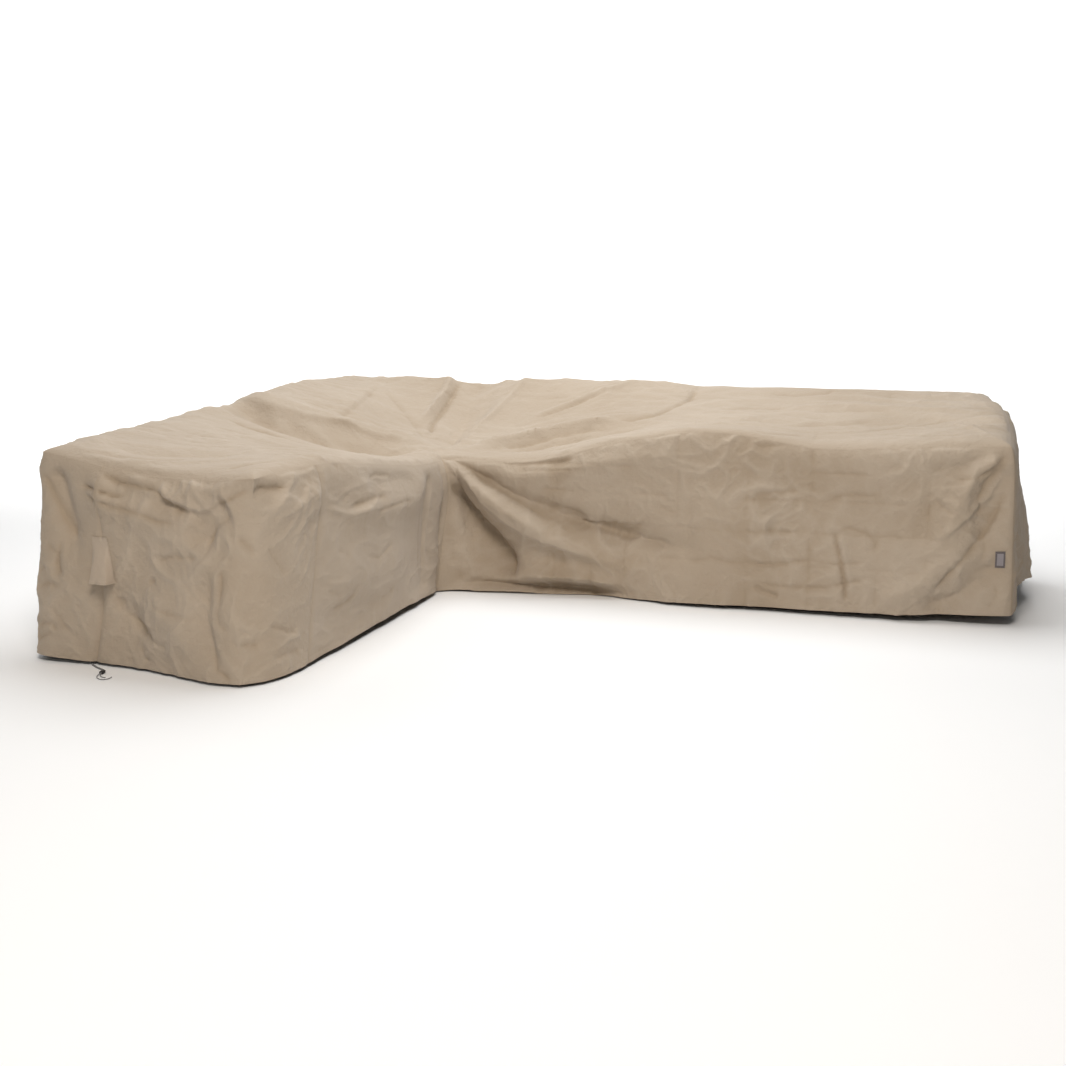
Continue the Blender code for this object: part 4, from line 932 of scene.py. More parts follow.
# %% The creases of the top
CREASES["top"] = as_creases((
    (7, 24, (-850,-100, -780,-110, -680,-120, -580,-80, -500,-20, -440,20, -350,40, -230,70, -130,90)),
    (-4.5, 16, (-710,-440, -630,-460, -570,-420, -430,-470, -360,-460)),
    (-3, 18, (-570,620, -530,370, -490,50)),
    (-3, 14, (-530,620, -400,500, -280,370, -160,200)),
    (-6, 15, (-240,860, -230,720, -220,580, -220,430, -170,270)),
    (4, 14, (-290,860, -265,710, -265,550, -270,410)),
    (5, 15, (100,860, 60,690, 20,540, -10,420, -40,240)),
    (-4, 14, (500,700, 400,600, 330,550, 230,500)),
    (3.5, 13, (600,820, 540,760, 450,680, 340,590)),
    (6, 20, (700,360, 510,365, 390,355, 250,290, 130,200, 40,110)),
    (-4, 16, (660,280, 520,310, 400,300, 260,230, 120,120)),
    (3, 16, (750,100, 600,120, 420,100, 250,60)),
    (-4.5, 16, (890,840, 880,660, 830,550, 780,420, 700,360, 560,380)),
    (-3, 13, (1210,750, 1320,740, 1450,780, 1480,840)),
    (3.6, 16, (1600,590, 1830,550, 1950,510, 2050,470, 2140,450)),
    (-2, 13, (1380,510, 1550,540, 1740,550)),
    (-2, 13, (1380,360, 1530,385, 1680,440)),
    (-3.2, 14, (1600,200, 1710,290, 1800,350, 1910,400, 2020,400)),
    (3.5, 13, (1950,370, 2030,190, 2090,80)),
    (-3, 12, (1720,130, 1860,90, 2000,80)),
    (-3, 12, (1230,50, 1280,30, 1340,70, 1430,120)),
    (3, 14, (1000,300, 1150,240, 1350,260)),
    (-2.5, 13, (1000,520, 1150,560, 1320,550)),
    # the short wing's front
    (-3.5, 14, (-740,-1340, -620,-1320, -500,-1270, -400,-1200)),
    (3.5, 14, (-600,-1360, -420,-1300, -250,-1200, -170,-1140)),
    (-3, 13, (-170,-1330, -110,-1260, -50,-1200)),
    (-2.5, 14, (-780,-860, -620,-820, -460,-840)),
    (2.5, 14, (-360,-980, -240,-950, -120,-930)),
    (-2.5, 13, (-700,-640, -520,-660, -340,-600)),
))
print("top:", len(CREASES["top"]), "creases")

# %% The packet's creases
# In metres: straight and shallow lines, across at places along the wall or in x, and up at heights or in y.
# They fade out at the two places of within.
Packet = namedtuple("Packet", "height width across up within")
PACKETS = {
    "front": Packet(
        0.0042, 0.0075, (0.465, 0.617, 0.754, 0.963, 1.231, 1.464, 1.709, 1.881),
        (0.537, 0.431, 0.308, 0.184), (0.42, 1.92),
    ),
    "inner": Packet(0.0014, 0.006, (-0.86, -0.50), (0.36, 0.20), (-1.0, -0.4)),
    "short_end": Packet(0.0012, 0.006, (-0.50, -0.32), (0.42, 0.25), (-0.56, -0.15)),
    "outer": Packet(0.0020, 0.007, (-1.10, -0.82, -0.56, -0.02, 0.26, 0.56), (0.60, 0.42, 0.24), (-1.2, 0.7)),
    "back": Packet(
        0.0024, 0.007, (-0.60, -0.32, 0.22, 0.50, 0.78, 1.06, 1.34, 1.62, 1.90), (0.62, 0.44, 0.25),
        (-0.7, 2.0),
    ),
    "long_end": Packet(0.0012, 0.007, (0.30, 0.58), (0.58, 0.40, 0.22), (0.2, 0.7)),
    "top": Packet(
        0.0022, 0.008, (-0.58, -0.30, 0.22, 0.50, 0.963, 1.231, 1.464, 1.709, 1.881),
        (-1.08, -0.80, -0.52, 0.20, 0.44, 0.68), (-0.7, 2.05),
    ),
}
print("packet lines:", sum(len(packet.across) + len(packet.up) for packet in PACKETS.values()))

# %% Height of one crease
CREASE_NARROW = 0.72  # share of the listed widths
CREASE_ROUND = 0.0022  # how round a crease is along its bottom
CREASE_REACH = 4  # a crease is worked out within this many of its widths
CREASE_FADE = 0.2  # share of the route over which it fades in, and out again


def crease_height(p, q, crease):
    """Height x exp(-(d / narrowed width)^1.2), where d = hypot(distance from the route, roundness)."""
    reach = CREASE_REACH * crease.width
    low, high = crease.route.min(axis=0) - reach, crease.route.max(axis=0) + reach
    near = (p > low[0]) & (p < high[0]) & (q > low[1]) & (q < high[1])
    total = np.zeros_like(p)
    distance, _, done = from_route(p[near], q[near], crease.route)
    distance = np.hypot(distance, CREASE_ROUND)
    fade = ease(0.1 + done / CREASE_FADE) * ease(0.1 + (1 - done) / CREASE_FADE)
    total[near] = crease.height * np.exp(-((distance / (CREASE_NARROW * crease.width)) ** 1.2)) * fade
    return total


print("creases placed by hand:", sum(len(creases) for creases in CREASES.values()))

# %% Height of the packet's creases
FACET_SHARE = 1.4  # height of a facet's corner, in heights of a line
PACKET_FADE = 0.12
FAR = 9.0  # well outside the cover


def packet_height(p, q, packet, seed):
    """Pressed lines and the facets between them.

    A line is -height x exp(-distance / width), stronger and weaker along its way. A facet is a flat tilt:
    each crossing of two lines has a random height, and between crossings the height is interpolated both
    ways. Lines and facets fade out where the packet's marks end.
    """
    random = np.random.default_rng(seed)
    total = np.zeros_like(p)
    for at, other, lines in ((p, q, packet.across), (q, p, packet.up)):
        for number, line in enumerate(lines):
            strength = np.clip(0.45 + 2.2 * lattice_noise(at, other, SLOW_CELL, seed + number), 0.0, 1.3)
            total -= packet.height * strength * np.exp(-np.abs(at - line) / packet.width)
    columns = np.concatenate([[-FAR], packet.across, [FAR]])
    rows = np.concatenate([[-FAR], packet.up, [FAR]])
    heights = random.uniform(-1, 1, (len(columns), len(rows))) * FACET_SHARE * packet.height
    heights[[0, -1]] = heights[[1, -2]]
    heights[:, [0, -1]] = heights[:, [1, -2]]
    i = np.clip(np.searchsorted(columns, p) - 1, 0, len(columns) - 2)
    j = np.clip(np.searchsorted(rows, q) - 1, 0, len(rows) - 2)
    s = (p - columns[i]) / (columns[i + 1] - columns[i])
    t = (q - rows[j]) / (rows[j + 1] - rows[j])
    low = heights[i, j] * (1 - s) + heights[i + 1, j] * s
    high = heights[i, j + 1] * (1 - s) + heights[i + 1, j + 1] * s
    first, last = packet.within
    inside = ease((p - first) / PACKET_FADE + 0.5) * ease((last - p) / PACKET_FADE + 0.5)
    return inside * (total + low * (1 - t) + high * t)


print("the front's packet marks:", len(PACKETS["front"].across) * len(PACKETS["front"].up), "crossings")

# %% All creases of a side
CREASE_DEPTH = {"front": 2.5, "inner": 1.9, "short_end": 2.5, "top": 2.5}  # times the listed heights
CRUMPLED = {  # height of each panel's crumples
    "top": 0.0115, "wall_front": 0.0105, "wall_inner": 0.0075, "wall_short_end": 0.0110,
    "wall_outer": 0.0070, "wall_back": 0.0085, "wall_long_end": 0.0085,
}


def creased(side, p, q, seed):
    """The creases of one side at the points (p, q): those of the packet and those placed by hand."""
    total = packet_height(p, q, PACKETS[side], seed)
    for crease in CREASES.get(side, ()):
        total += CREASE_DEPTH[side] * crease_height(p, q, crease)
    return total


def round_walk(side, place):
    """Distance walked round the cover from the inner corner, so that crumples run on round a corner."""
    walked = 0.0
    for name in ORDER[:ORDER.index(side)]:
        walked += math.dist(CORNERS[SIDES[name].start], CORNERS[SIDES[name].end])
    return walked + np.abs(place - CORNERS[SIDES[side].start][runs_along(side)])


print("walked once round:", round(float(round_walk("front", np.zeros(1))[0]), 2), "m")

# %% [markdown]
# ## Seams and hem
# Where two panels are sewn together the cloth dips into the seam and stands up on both sides of it, with
# small puckers where the thread has drawn it in. The hem is a folded band with the drawstring inside, so it
# is thicker and gathered. Both belong to the relief of the panels, because they are the same cloth.

# %% Relief beside a seam, and of the hem
SEAM_SWELL = 0.0011  # how high the cloth swells beside a seam
SEAM_SWELL_WIDE = 0.011
SEAM_DIP = 0.0015  # how close to the seam the cloth dips into it
PUCKER = 0.0009  # height of the puckers in the swell
HEM_BAND = 0.022  # how high the hem's band reaches
HEM_THICK = 0.0010  # how far it stands out
HEM_GATHER = 0.0016  # height of its gathers
GATHER_REACH = 0.035  # how far they run up the wall
STITCHED_IN = 0.003  # the hem's stitch line is this far below the band's upper edge


def gathers(along, across, fine, coarse, share, seed):
    """Noise in two sizes: a fine one, and a share of a coarse one."""
    return lattice_noise(along, across, fine, seed) + share * lattice_noise(along, across, coarse, seed + 1)


def seam_relief(distance, along, seed):
    """(Swell + puckers) x exp(-distance / its width) x (1 - exp(-distance / the dip's width))."""
    pucker = gathers(along, distance * 0.4, 0.011, 0.028, 0.6, seed)
    swell = (SEAM_SWELL + PUCKER * pucker) * np.exp(-distance / SEAM_SWELL_WIDE)
    return swell * (1 - np.exp(-distance / SEAM_DIP))


def hem_relief(distance, along, seed):
    """A band as high as the hem, with a dip where it is stitched, and gathers that fade up the wall."""
    band = HEM_THICK * (1 - ease((distance - HEM_BAND) / 0.003))
    stitched = 0.0008 * np.exp(-(((distance - HEM_BAND + STITCHED_IN) / 0.0025) ** 2))
    gather = gathers(along, distance * 0.3, 0.021, 0.055, 0.7, seed)
    return band - stitched + HEM_GATHER * gather * np.exp(-distance / GATHER_REACH)


print(f"beside a seam the cloth stands {seam_relief(np.full(1, 0.004), np.zeros(1), 1)[0] * MM:.1f} mm high")

# %% [markdown]
# ## The six wall panels
# A wall panel runs from one seam to the next. Two of those seams stand away from the corners of the L and
# lean, so that two of the panels go round a corner. The columns of the grid lean with the seams, and beside
# the inner corner they lean along the folds, so that a fold doesn't cut across the cells in steps.

# %% Where the panels begin and end
Seam = namedtuple("Seam", "side place lean power reach")  # lean is how far the hem end is from the top end
INNER_SEAM = Seam("inner", -1.11, -0.115, 1.3, 0.265)
END_SEAM = Seam("short_end", -0.613, -0.054, 3.0, 0.26)
FAN_LEAN = 0.36
FAN_PLACES = (0.09, 0.26, 1.15)  # where the front's lean is whole, where it starts to fade, where it ends
FAN_LINES = np.linspace(0.030, 0.105, 34)  # more columns where the fan opens
BESIDE_SEAM = (0.0, 0.0025, 0.0065, 0.012, 0.019, 0.027)  # the first columns of a panel
DOWN_ROWS = np.concatenate([  # shares of the way down, close together at the top edge and the hem
    (0.0, 0.0035, 0.008, 0.0135, 0.020, 0.0275), np.linspace(0.035, 0.950, 97), np.linspace(0.956, 1.0, 10),
])

# Squeezed crumples are longer along the wall. A span is (side, first place, last place).
Panel = namedtuple("Panel", "step seed squeezed spans")
PANELS = {
    "wall_inner": Panel(0.0058, 20, 0.5, (("inner", 0.0, INNER_SEAM.place),)),
    "wall_short_end": Panel(
        0.0058, 30, 1.0, (("inner", INNER_SEAM.place, -SHORT), ("short_end", 0.0, END_SEAM.place)),
    ),
    "wall_outer": Panel(0.0090, 40, 1.0, (("short_end", END_SEAM.place, -WING), ("outer", -SHORT, WING))),
    "wall_back": Panel(0.0100, 50, 1.0, (("back", -WING, LONG),)),
    "wall_long_end": Panel(0.0085, 60, 1.0, (("long_end", WING, 0.0),)),
    "wall_front": Panel(0.0060, 70, 1.0, (("front", LONG, 0.0),)),
}


def leaned(side, place, down):
    """A place along a wall, moved with the lean of the seam or the folds near it."""
    if side == "front":
        whole, fades, ends = FAN_PLACES
        place = place + FAN_LEAN * down * ease(place / whole) * (1 - ease((place - fades) / (ends - fades)))
    for seam in (INNER_SEAM, END_SEAM):
        if seam.side == side:
            place = place + seam.lean * down**seam.power * (1 - ease(np.abs(place - seam.place) / seam.reach))
    return place


def span_lines(first, last, step):
    """Places from first to last, close together beside both ends."""
    near = np.asarray(BESIDE_SEAM)
    length = abs(last - first)
    middle = np.linspace(near[-1] + step, length - near[-1] - step, round(length / step))
    return first + np.sign(last - first) * np.concatenate([near, middle, length - near[::-1]])


print("rows down a wall:", len(DOWN_ROWS))

# %% One side of a wall panel
CLEAR_OF_CORNER = 0.012  # the creases fade out this far from a corner of the L
# painted shade: a fold's hollow is drawn darker in the cloth's tone
HOLLOW_PAINTED_SHADE = 0.07  # how much a fold's hollow counts for the tone, beside a crease
SewnOn = namedtuple("SewnOn", "place height half_wide half_high")
SEWN_ON = {"front": SewnOn(2.135, 0.247, 0.030, 0.046), "short_end": SewnOn(-0.618, 0.351, 0.048, 0.088)}
STIFFENED = 0.85  # share of the creases that what is sewn on takes away


def calm(side, place, height):
    """1 away from what is sewn on the wall, and less on it, because two layers sewn together crease less."""
    if side not in SEWN_ON:
        return 1.0
    sewn = SEWN_ON[side]
    aside, above = np.abs(place - sewn.place), np.abs(height - sewn.height)
    away = np.maximum(aside / sewn.half_wide, above / sewn.half_high)
    return 1 - STIFFENED * (1 - ease((away - 0.8) / 0.6))


def wall_span(name, side, lines):
    """A panel's part on one side: its points, its creases' height, and the painted shade of its folds'
    hollows.
    """
    panel = PANELS[name]
    place, down = np.meshgrid(lines, DOWN_ROWS, indexing="ij")
    place = leaned(side, place, down)
    points = wall_points(side, place, down)
    along, height = points[..., runs_along(side)], points[..., 2]
    clear = 1.0
    for _, end in corner_places(side):
        clear = clear * ease(np.abs(place - end) / CLEAR_OF_CORNER)
    crumples = CRUMPLED[name] * crumple(round_walk(side, place) * panel.squeezed, height, panel.seed)
    marks = crumples + clear * creased(side, along, height, panel.seed)
    # painted shade: the folds' hollows are drawn darker
    hollow = HOLLOW_PAINTED_SHADE * np.minimum(fold_sum(place, height, WALL_FOLDS[side], WALL_POWER), 0.0)
    return points, marks * calm(side, along, height), hollow


print("stiffer where something is sewn on:", ", ".join(SEWN_ON))

# %% The wall panels
CLEAR_OF_SEAM = 0.022  # the creases fade out this far from a seam
SEAM_MEETS = 0.006  # a seam's relief fades out this far from another seam
HEM_MEETS = 0.012  # and the hem's relief this far
TOP_SEAM = 0.5  # share of a seam's relief below the top edge
SEAM_DARK = 0.0035  # how much deeper a seam counts for its tone than it is
SEAM_DARK_WIDE = 0.004


def wall_sheet(name):
    """A panel's outer points, its quads, its UV, and how far each point counts as raised for its tone.

    The detail is added along the surface's normals. It ends before a seam, which has its own relief.
    """
    panel = PANELS[name]
    parts, walked = [], 0.0
    for number, (side, first, last) in enumerate(panel.spans):
        lines = span_lines(first, last, panel.step)
        if side == "front":
            lines = np.unique(np.concatenate([lines, FAN_LINES]))[::-1]
        at = walked + np.abs(lines - first)
        walked = at[-1]
        shared = min(number, 1)  # two sides share the column at their corner
        parts.append([part[shared:] for part in (*wall_span(name, side, lines), at)])
    points, detail, hollow, at = (np.concatenate(part) for part in zip(*parts))
    along = np.repeat(at[:, None], len(DOWN_ROWS), axis=1)
    depth = np.pad(np.cumsum(np.linalg.norm(np.diff(points, axis=1), axis=2), axis=1), ((0, 0), (1, 0)))
    to_ends = np.minimum(along, along[-1:] - along)
    clear = ease(depth / CLEAR_OF_SEAM) * ease(to_ends / CLEAR_OF_SEAM)
    relief = clear * detail
    relief += TOP_SEAM * seam_relief(depth, along, panel.seed + 1) * ease(to_ends / SEAM_MEETS)
    relief += seam_relief(to_ends, depth, panel.seed + 3) * ease(depth / SEAM_MEETS)
    relief += hem_relief(depth[:, -1:] - depth, along, panel.seed + 5) * ease(to_ends / HEM_MEETS)
    quads = grid_quads(*relief.shape)
    points = points.reshape(-1, 3)
    raised = points + point_normals(points, quads) * relief.reshape(-1, 1)
    # the tone: the creases' height, painted shade in the folds' hollows, and darker along the seams
    tone = clear * (detail + hollow) - SEAM_DARK * np.exp(-to_ends / SEAM_DARK_WIDE)
    return raised, quads, joined(along, depth).reshape(-1, 2), tone.ravel()


SHEETS = {name: wall_sheet(name) for name in PANELS}
for name, (points, quads, _, raised) in SHEETS.items():
    print(f"{name}: {len(quads)} cells, detail from {raised.min() * MM:.1f} to {raised.max() * MM:.1f} mm")

# %% [markdown]
# ## The top panel
# The top is one L-shaped cut. In plan its grid runs straight both ways, closer beside the edges, and the
# cells in the L's notch are left out.

# %% Points of the top
TOP_STEPS = (0.0075, 0.0140)  # across and deep: from the front, depth is seen foreshortened
TOP_SEED = 10
TOP_SQUEEZED = 0.42  # the top's crumples are longer along the long wing


def plan_lines(first, last, step):
    """Grid lines on both sides of 0, close together beside 0 and at both ends."""
    lines = np.concatenate([span_lines(first, 0.0, step), span_lines(0.0, last, step)])
    return np.unique(lines.round(6))


def top_sheet():
    """The plan grid without the notch, raised along its normals by the detail and the seam's relief."""
    x_lines = plan_lines(-WING, LONG, TOP_STEPS[0])
    y_lines = plan_lines(-SHORT, WING, TOP_STEPS[1])
    x, y = (grid.ravel() for grid in np.meshgrid(x_lines, y_lines, indexing="ij"))
    quads = grid_quads(len(x_lines), len(y_lines))
    quads = quads[(x[quads].mean(axis=1) < 0) | (y[quads].mean(axis=1) > 0)]
    used, quads = np.unique(quads, return_inverse=True)
    x, y, quads = x[used], y[used], quads.reshape(-1, 4)
    points = top_points(x, y)
    distances = np.stack([to_edge(x, y, side)[0] for side in ORDER])
    nearest = distances.min(axis=0)
    along_y = np.array([runs_along(side) for side in ORDER], bool)[distances.argmin(axis=0)]
    along = np.where(along_y, y, x)
    clear = ease(nearest / CLEAR_OF_SEAM)
    detail = creased("top", x, y, TOP_SEED) + CRUMPLED["top"] * crumple(TOP_SQUEEZED * x, y, TOP_SEED)
    detail *= clear
    relief = detail + TOP_SEAM * seam_relief(nearest, along, TOP_SEED + 1)
    raised = points + point_normals(points, quads) * relief[:, None]
    # painted shade in the hollows of the top's folds
    hollow = HOLLOW_PAINTED_SHADE * np.minimum(fold_sum(x, y, TOP_FOLDS, TOP_POWER), 0.0)
    return raised, quads, joined(x, y), detail + hollow * clear


SHEETS["top"] = top_sheet()
print("top:", len(SHEETS["top"][1]), "cells")

# %% The panels as closed sheets
# How far a point is raised goes with it as an attribute, with painted shade added in the folds' hollows and a
# darker line along the seams; from it the cloth's finish takes its tone.
CLOTH_PIECES = {}
for name, (points, quads, uv, raised) in SHEETS.items():
    piece = closed_sheet(name + "_cloth", points, quads, uv, SHEET)
    raised_and_painted_shade = piece.data.attributes.new("raised", "FLOAT", "POINT")
    raised_and_painted_shade.data.foreach_set("value", np.tile(raised, 2).astype(np.float32))
    CLOTH_PIECES[name] = piece

# %% [markdown]
# ## The vent hood
# The hood keeps rain out of a vent in the end wall. Its header band is sewn flat, and below it the flap
# stands off the wall between two gussets and ends in a small hem. It is worked out as a sheet over the wall
# behind it: first where the wall is, then how far the hood stands out of it.

# %% Where the cover's cloth is
def cover_tree():
    """A search tree of the walls' outer faces, for placing what is sewn on them."""
    faces, corners, first = [], [], 0
    for name in ("wall_short_end", "wall_outer", "wall_front"):
        points, quads = SHEETS[name][:2]
        faces.append(quads + first)
        corners.append(points)
        first += len(points)
    return BVHTree.FromPolygons(np.concatenate(corners).tolist(), np.concatenate(faces).tolist())


COVER = cover_tree()


def on_cloth(x, height):
    """The y at which a wall that faces the front has its outer face."""
    places = zip(x.ravel().tolist(), height.ravel().tolist())
    hits = [COVER.ray_cast((at, -FAR, up), (0.0, 1.0, 0.0))[0] for at, up in places]
    return np.array([hit.y for hit in hits]).reshape(x.shape)


print(f"the front wall behind the tag is at y = {on_cloth(np.full(1, 2.135), np.full(1, 0.247))[0]:.3f}")

# %% The hood
HoodRow = namedtuple("HoodRow", "height base_left flap_left flap_right base_right stands_out")
HOOD = (
    HoodRow(0.424, -0.648, -0.634, -0.600, -0.590, 0.000),
    HoodRow(0.406, -0.649, -0.634, -0.601, -0.588, 0.000),
    HoodRow(0.398, -0.650, -0.633, -0.601, -0.587, 0.001),
    HoodRow(0.360, -0.653, -0.635, -0.597, -0.582, 0.012),
    HoodRow(0.318, -0.657, -0.639, -0.590, -0.576, 0.024),
    HoodRow(0.278, -0.660, -0.643, -0.582, -0.571, 0.036),
)
TRIM = 0.0012  # thickness of the hood and the tag
SEWN_GAP = 0.0006  # between it and the wall
FOLDED = 0.0007  # how much thicker it is where it is folded over
HEADER_FROM = 0.400  # the height at which the flat header starts
HOOD_HEM = 0.009  # how high the hood's own hem is
HOOD_ROWS = 56


def sewn_sheet(name, x, height, stands_out, uv):
    """A thin sheet over the wall: y = wall - gap - thickness - how far it stands out."""
    y = on_cloth(x, height) - SEWN_GAP - TRIM - stands_out
    points = joined(x, y, height).reshape(-1, 3)
    return closed_sheet(name, points, grid_quads(*x.shape), uv.reshape(-1, 2), TRIM), points


def hood():
    """Rows by height, columns across: two gussets that rise in an S, and a slightly crowned flap between."""
    rows = np.asarray(HOOD)[::-1]
    up = np.linspace(HOOD[0].height, HOOD[-1].height, HOOD_ROWS)
    columns = [smooth_table(up, rows[:, 0], rows[:, k])[:, None] for k in range(1, 6)]
    base_left, flap_left, flap_right, base_right, out = columns
    gusset = np.linspace(0, 1, 9)[None, :-1]
    flap = np.linspace(0, 1, 25)[None]
    x = np.concatenate([
        base_left + (flap_left - base_left) * gusset,
        flap_left + (flap_right - flap_left) * flap,
        base_right + (flap_right - base_right) * gusset[:, ::-1],
    ], axis=1)
    crown = 1 + 0.10 * (1 - (2 * flap - 1) ** 2)
    rise = np.concatenate([ease(gusset) ** 0.7, crown, ease(gusset[:, ::-1]) ** 0.7], axis=1)
    height = np.repeat(up[:, None], x.shape[1], axis=1)
    sag = 0.0012 * lattice_noise(x, height, 0.021, 81) * np.clip(out / 0.006, 0, 1)
    hem = FOLDED * (1 - ease((height - HOOD[-1].height - HOOD_HEM) / 0.002)) * np.clip(rise, 0, 1)
    header = FOLDED * ease((height - HEADER_FROM) / 0.003)
    uv = joined(x, height)
    return sewn_sheet("hood_cloth", x, height, np.maximum(out * rise + sag + hem + header, 0.0), uv)


HOOD_PIECE, HOOD_POINTS = hood()
print(f"hood: {HOOD[0].height - HOOD[-1].height:.3f} m high")

# %% [markdown]
# ## The woven tag
# A small dark tag is sewn flat on the front wall near its right end. It is blank: a woven border, a paler
# field, and a fold at both short ends.

# %% The tag
TAG_CORNER = (2.119, 0.215)  # its lower left corner: a place along the front, and a height
TAG_SIZE = (0.034, 0.063)
TAG_TURN = np.radians(2.0)
TAG_BORDER = 0.0022  # width of the woven border
TAG_FOLD = 0.005  # length that is folded under at each end
TAG_ROWS = 49


def tag():
    """A grid of places turned by a small angle, raised by its border, its folded ends and curled sides."""
    across, up = np.meshgrid(np.linspace(0, TAG_SIZE[0], 29), np.linspace(TAG_SIZE[1], 0, TAG_ROWS))
    x = TAG_CORNER[0] + across * np.cos(TAG_TURN) - up * np.sin(TAG_TURN)
    height = TAG_CORNER[1] + across * np.sin(TAG_TURN) + up * np.cos(TAG_TURN)
    to_side = np.minimum(across, TAG_SIZE[0] - across)
    to_end = np.minimum(up, TAG_SIZE[1] - up)
    border = 0.0003 * (1 - ease((to_side - TAG_BORDER) / 0.0008))
    folded = 0.0005 * (1 - ease((to_end - TAG_FOLD) / 0.001))
    curl = 0.0010 * np.exp(-to_side / 0.004) * ease(to_end / 0.01)
    return sewn_sheet("tag_weave", x, height, border + folded + curl, joined(across, up))


TAG_PIECE, TAG_POINTS = tag()
print("tag:", TAG_SIZE, "m")

# %% [markdown]
# ## Sewing
# Every seam is topstitched, and so are the hem, the hood and the tag. One stitch is a short bar of thread
# that lies on the cloth and comes to a point at both ends. There are thousands, so a stitch has only
# sixteen faces, and all of them are worked out in one go and kept in one mesh.

# %% Stitches along a line of points
STITCH_PITCH = 0.0052  # from one stitch to the next
STITCH_LONG = 0.0037
THREAD = 0.0006  # thickness of the thread


def even_steps(points, normals, pitch):
    """Places, tangents and normals at even steps along a line; a tangent is taken over two millimetres."""
    walked = walked_to(points)
    at = np.arange(pitch, walked[-1] - pitch / 2, pitch)

    def read(where, values):
        return joined(*(np.interp(where, walked, values[:, k]) for k in range(3)))

    tangent = unit(read(at + 0.001, points) - read(at - 0.001, points))
    normal = read(at, normals)
    normal -= (normal * tangent).sum(axis=1)[:, None] * tangent
    return read(at, points), tangent, unit(normal)


def stitch_faces():
    """Faces of one stitch: a point, two rings of four, and a point, as triangles."""
    faces = []
    for k in range(4):
        after = (k + 1) % 4
        faces += [(0, 1 + after, 1 + k), (1 + k, 1 + after, 5 + after)]
        faces += [(1 + k, 5 + after, 5 + k), (9, 5 + k, 5 + after)]
    return np.array(faces)


def stitches(lines):
    """Bars of thread along all lines: the ends on the cloth, and two rings of the thread's width between."""
    frames = [even_steps(points, normals, STITCH_PITCH) for points, normals in lines]
    place, tangent, normal = (np.concatenate(parts) for parts in zip(*frames))
    half, radius = STITCH_LONG / 2, THREAD / 2
    ring = [(radius, radius * 0.45), (0.0, radius * 1.25), (-radius, radius * 0.45), (0.0, radius * -0.35)]
    rings = [(end * half * 0.6, *point) for end in (-1, 1) for point in ring]
    shape = [(-half, 0.0, 0.0), *rings, (half, 0.0, 0.0)]
    axes = np.stack([tangent, np.cross(normal, tangent), normal], axis=1)
    points = place[:, None] + np.asarray(shape) @ axes
    faces = stitch_faces()[None] + (np.arange(len(place)) * len(shape))[:, None, None]
    print(len(place), "stitches")
    return points.reshape(-1, 3), faces.reshape(-1, 3)


print("faces of a stitch:", len(stitch_faces()))

# %% All the lines of sewing
def panel_lines(name):
    """A panel's sewn lines: below its top seam, along its hem, and down beside the seam at its start."""
    points, quads = SHEETS[name][:2]
    normals = point_normals(points, quads)
    shape = (-1, len(DOWN_ROWS), 3)
    points, normals = points.reshape(shape), normals.reshape(shape)
    heights = points[len(points) // 2, :, 2]
    hem_row = int(np.argmin(np.abs(heights - heights[-1] - HEM_BAND + STITCHED_IN)))
    return [(points[:, 2], normals[:, 2]), (points[:, hem_row], normals[:, hem_row]), (points[2], normals[2])]


def trim_lines(points, rows, inset):
    """Lines of sewing round a rectangular sheet of points, a few points in from its outline."""
    grid = points.reshape(rows, -1, 3)
    quads = grid_quads(*grid.shape[:2])
    normals = point_normals(points, quads).reshape(grid.shape)
    return [(grid[inset], normals[inset]), (grid[-1 - inset], normals[-1 - inset]),
            (grid[:, 1], normals[:, 1]), (grid[:, -2], normals[:, -2])]


SEWN = [line for name in PANELS for line in panel_lines(name)]
SEWN += trim_lines(HOOD_POINTS, HOOD_ROWS, 2) + trim_lines(TAG_POINTS, TAG_ROWS, 3)
STITCHING = make_mesh("stitching", *stitches(SEWN))
print(len(SEWN), "lines of sewing")

# %% [markdown]
# ## Shader maths as expressions
# A material's numbers come from chains of Math nodes, which are slow to read as nodes. Here a small class
# wraps a socket, and plus, minus, times and the rest add the nodes. A second class makes the material and
# any other node.

# %% Terms and finishes
class Term:
    """A socket of a material, on which Python's operators add Math nodes."""

    def __init__(self, finish, socket):
        self.finish, self.socket = finish, socket

    def operate(self, operation, *others):
        """A Math node on this term and the others. The operators below are this, each with its operation."""
        values = dict(enumerate((self, *others)))
        return self.finish.node("Math", {"operation": operation}, values)

    __add__ = __radd__ = partialmethod(operate, "ADD")
    __sub__ = partialmethod(operate, "SUBTRACT")
    __mul__ = __rmul__ = partialmethod(operate, "MULTIPLY")
    __gt__ = partialmethod(operate, "GREATER_THAN")
    __abs__ = partialmethod(operate, "ABSOLUTE")
    sine = partialmethod(operate, "SINE")
    power = partialmethod(operate, "POWER")

    def __rsub__(self, other):
        return self * -1.0 + other

    def clamped(self, low=0.0, high=1.0):
        """The term, but no less than low and no more than high."""
        return self.operate("MAXIMUM", low).operate("MINIMUM", high)

    def output(self, name):
        """Another output of the same node."""
        return Term(self.finish, self.socket.node.outputs[name])


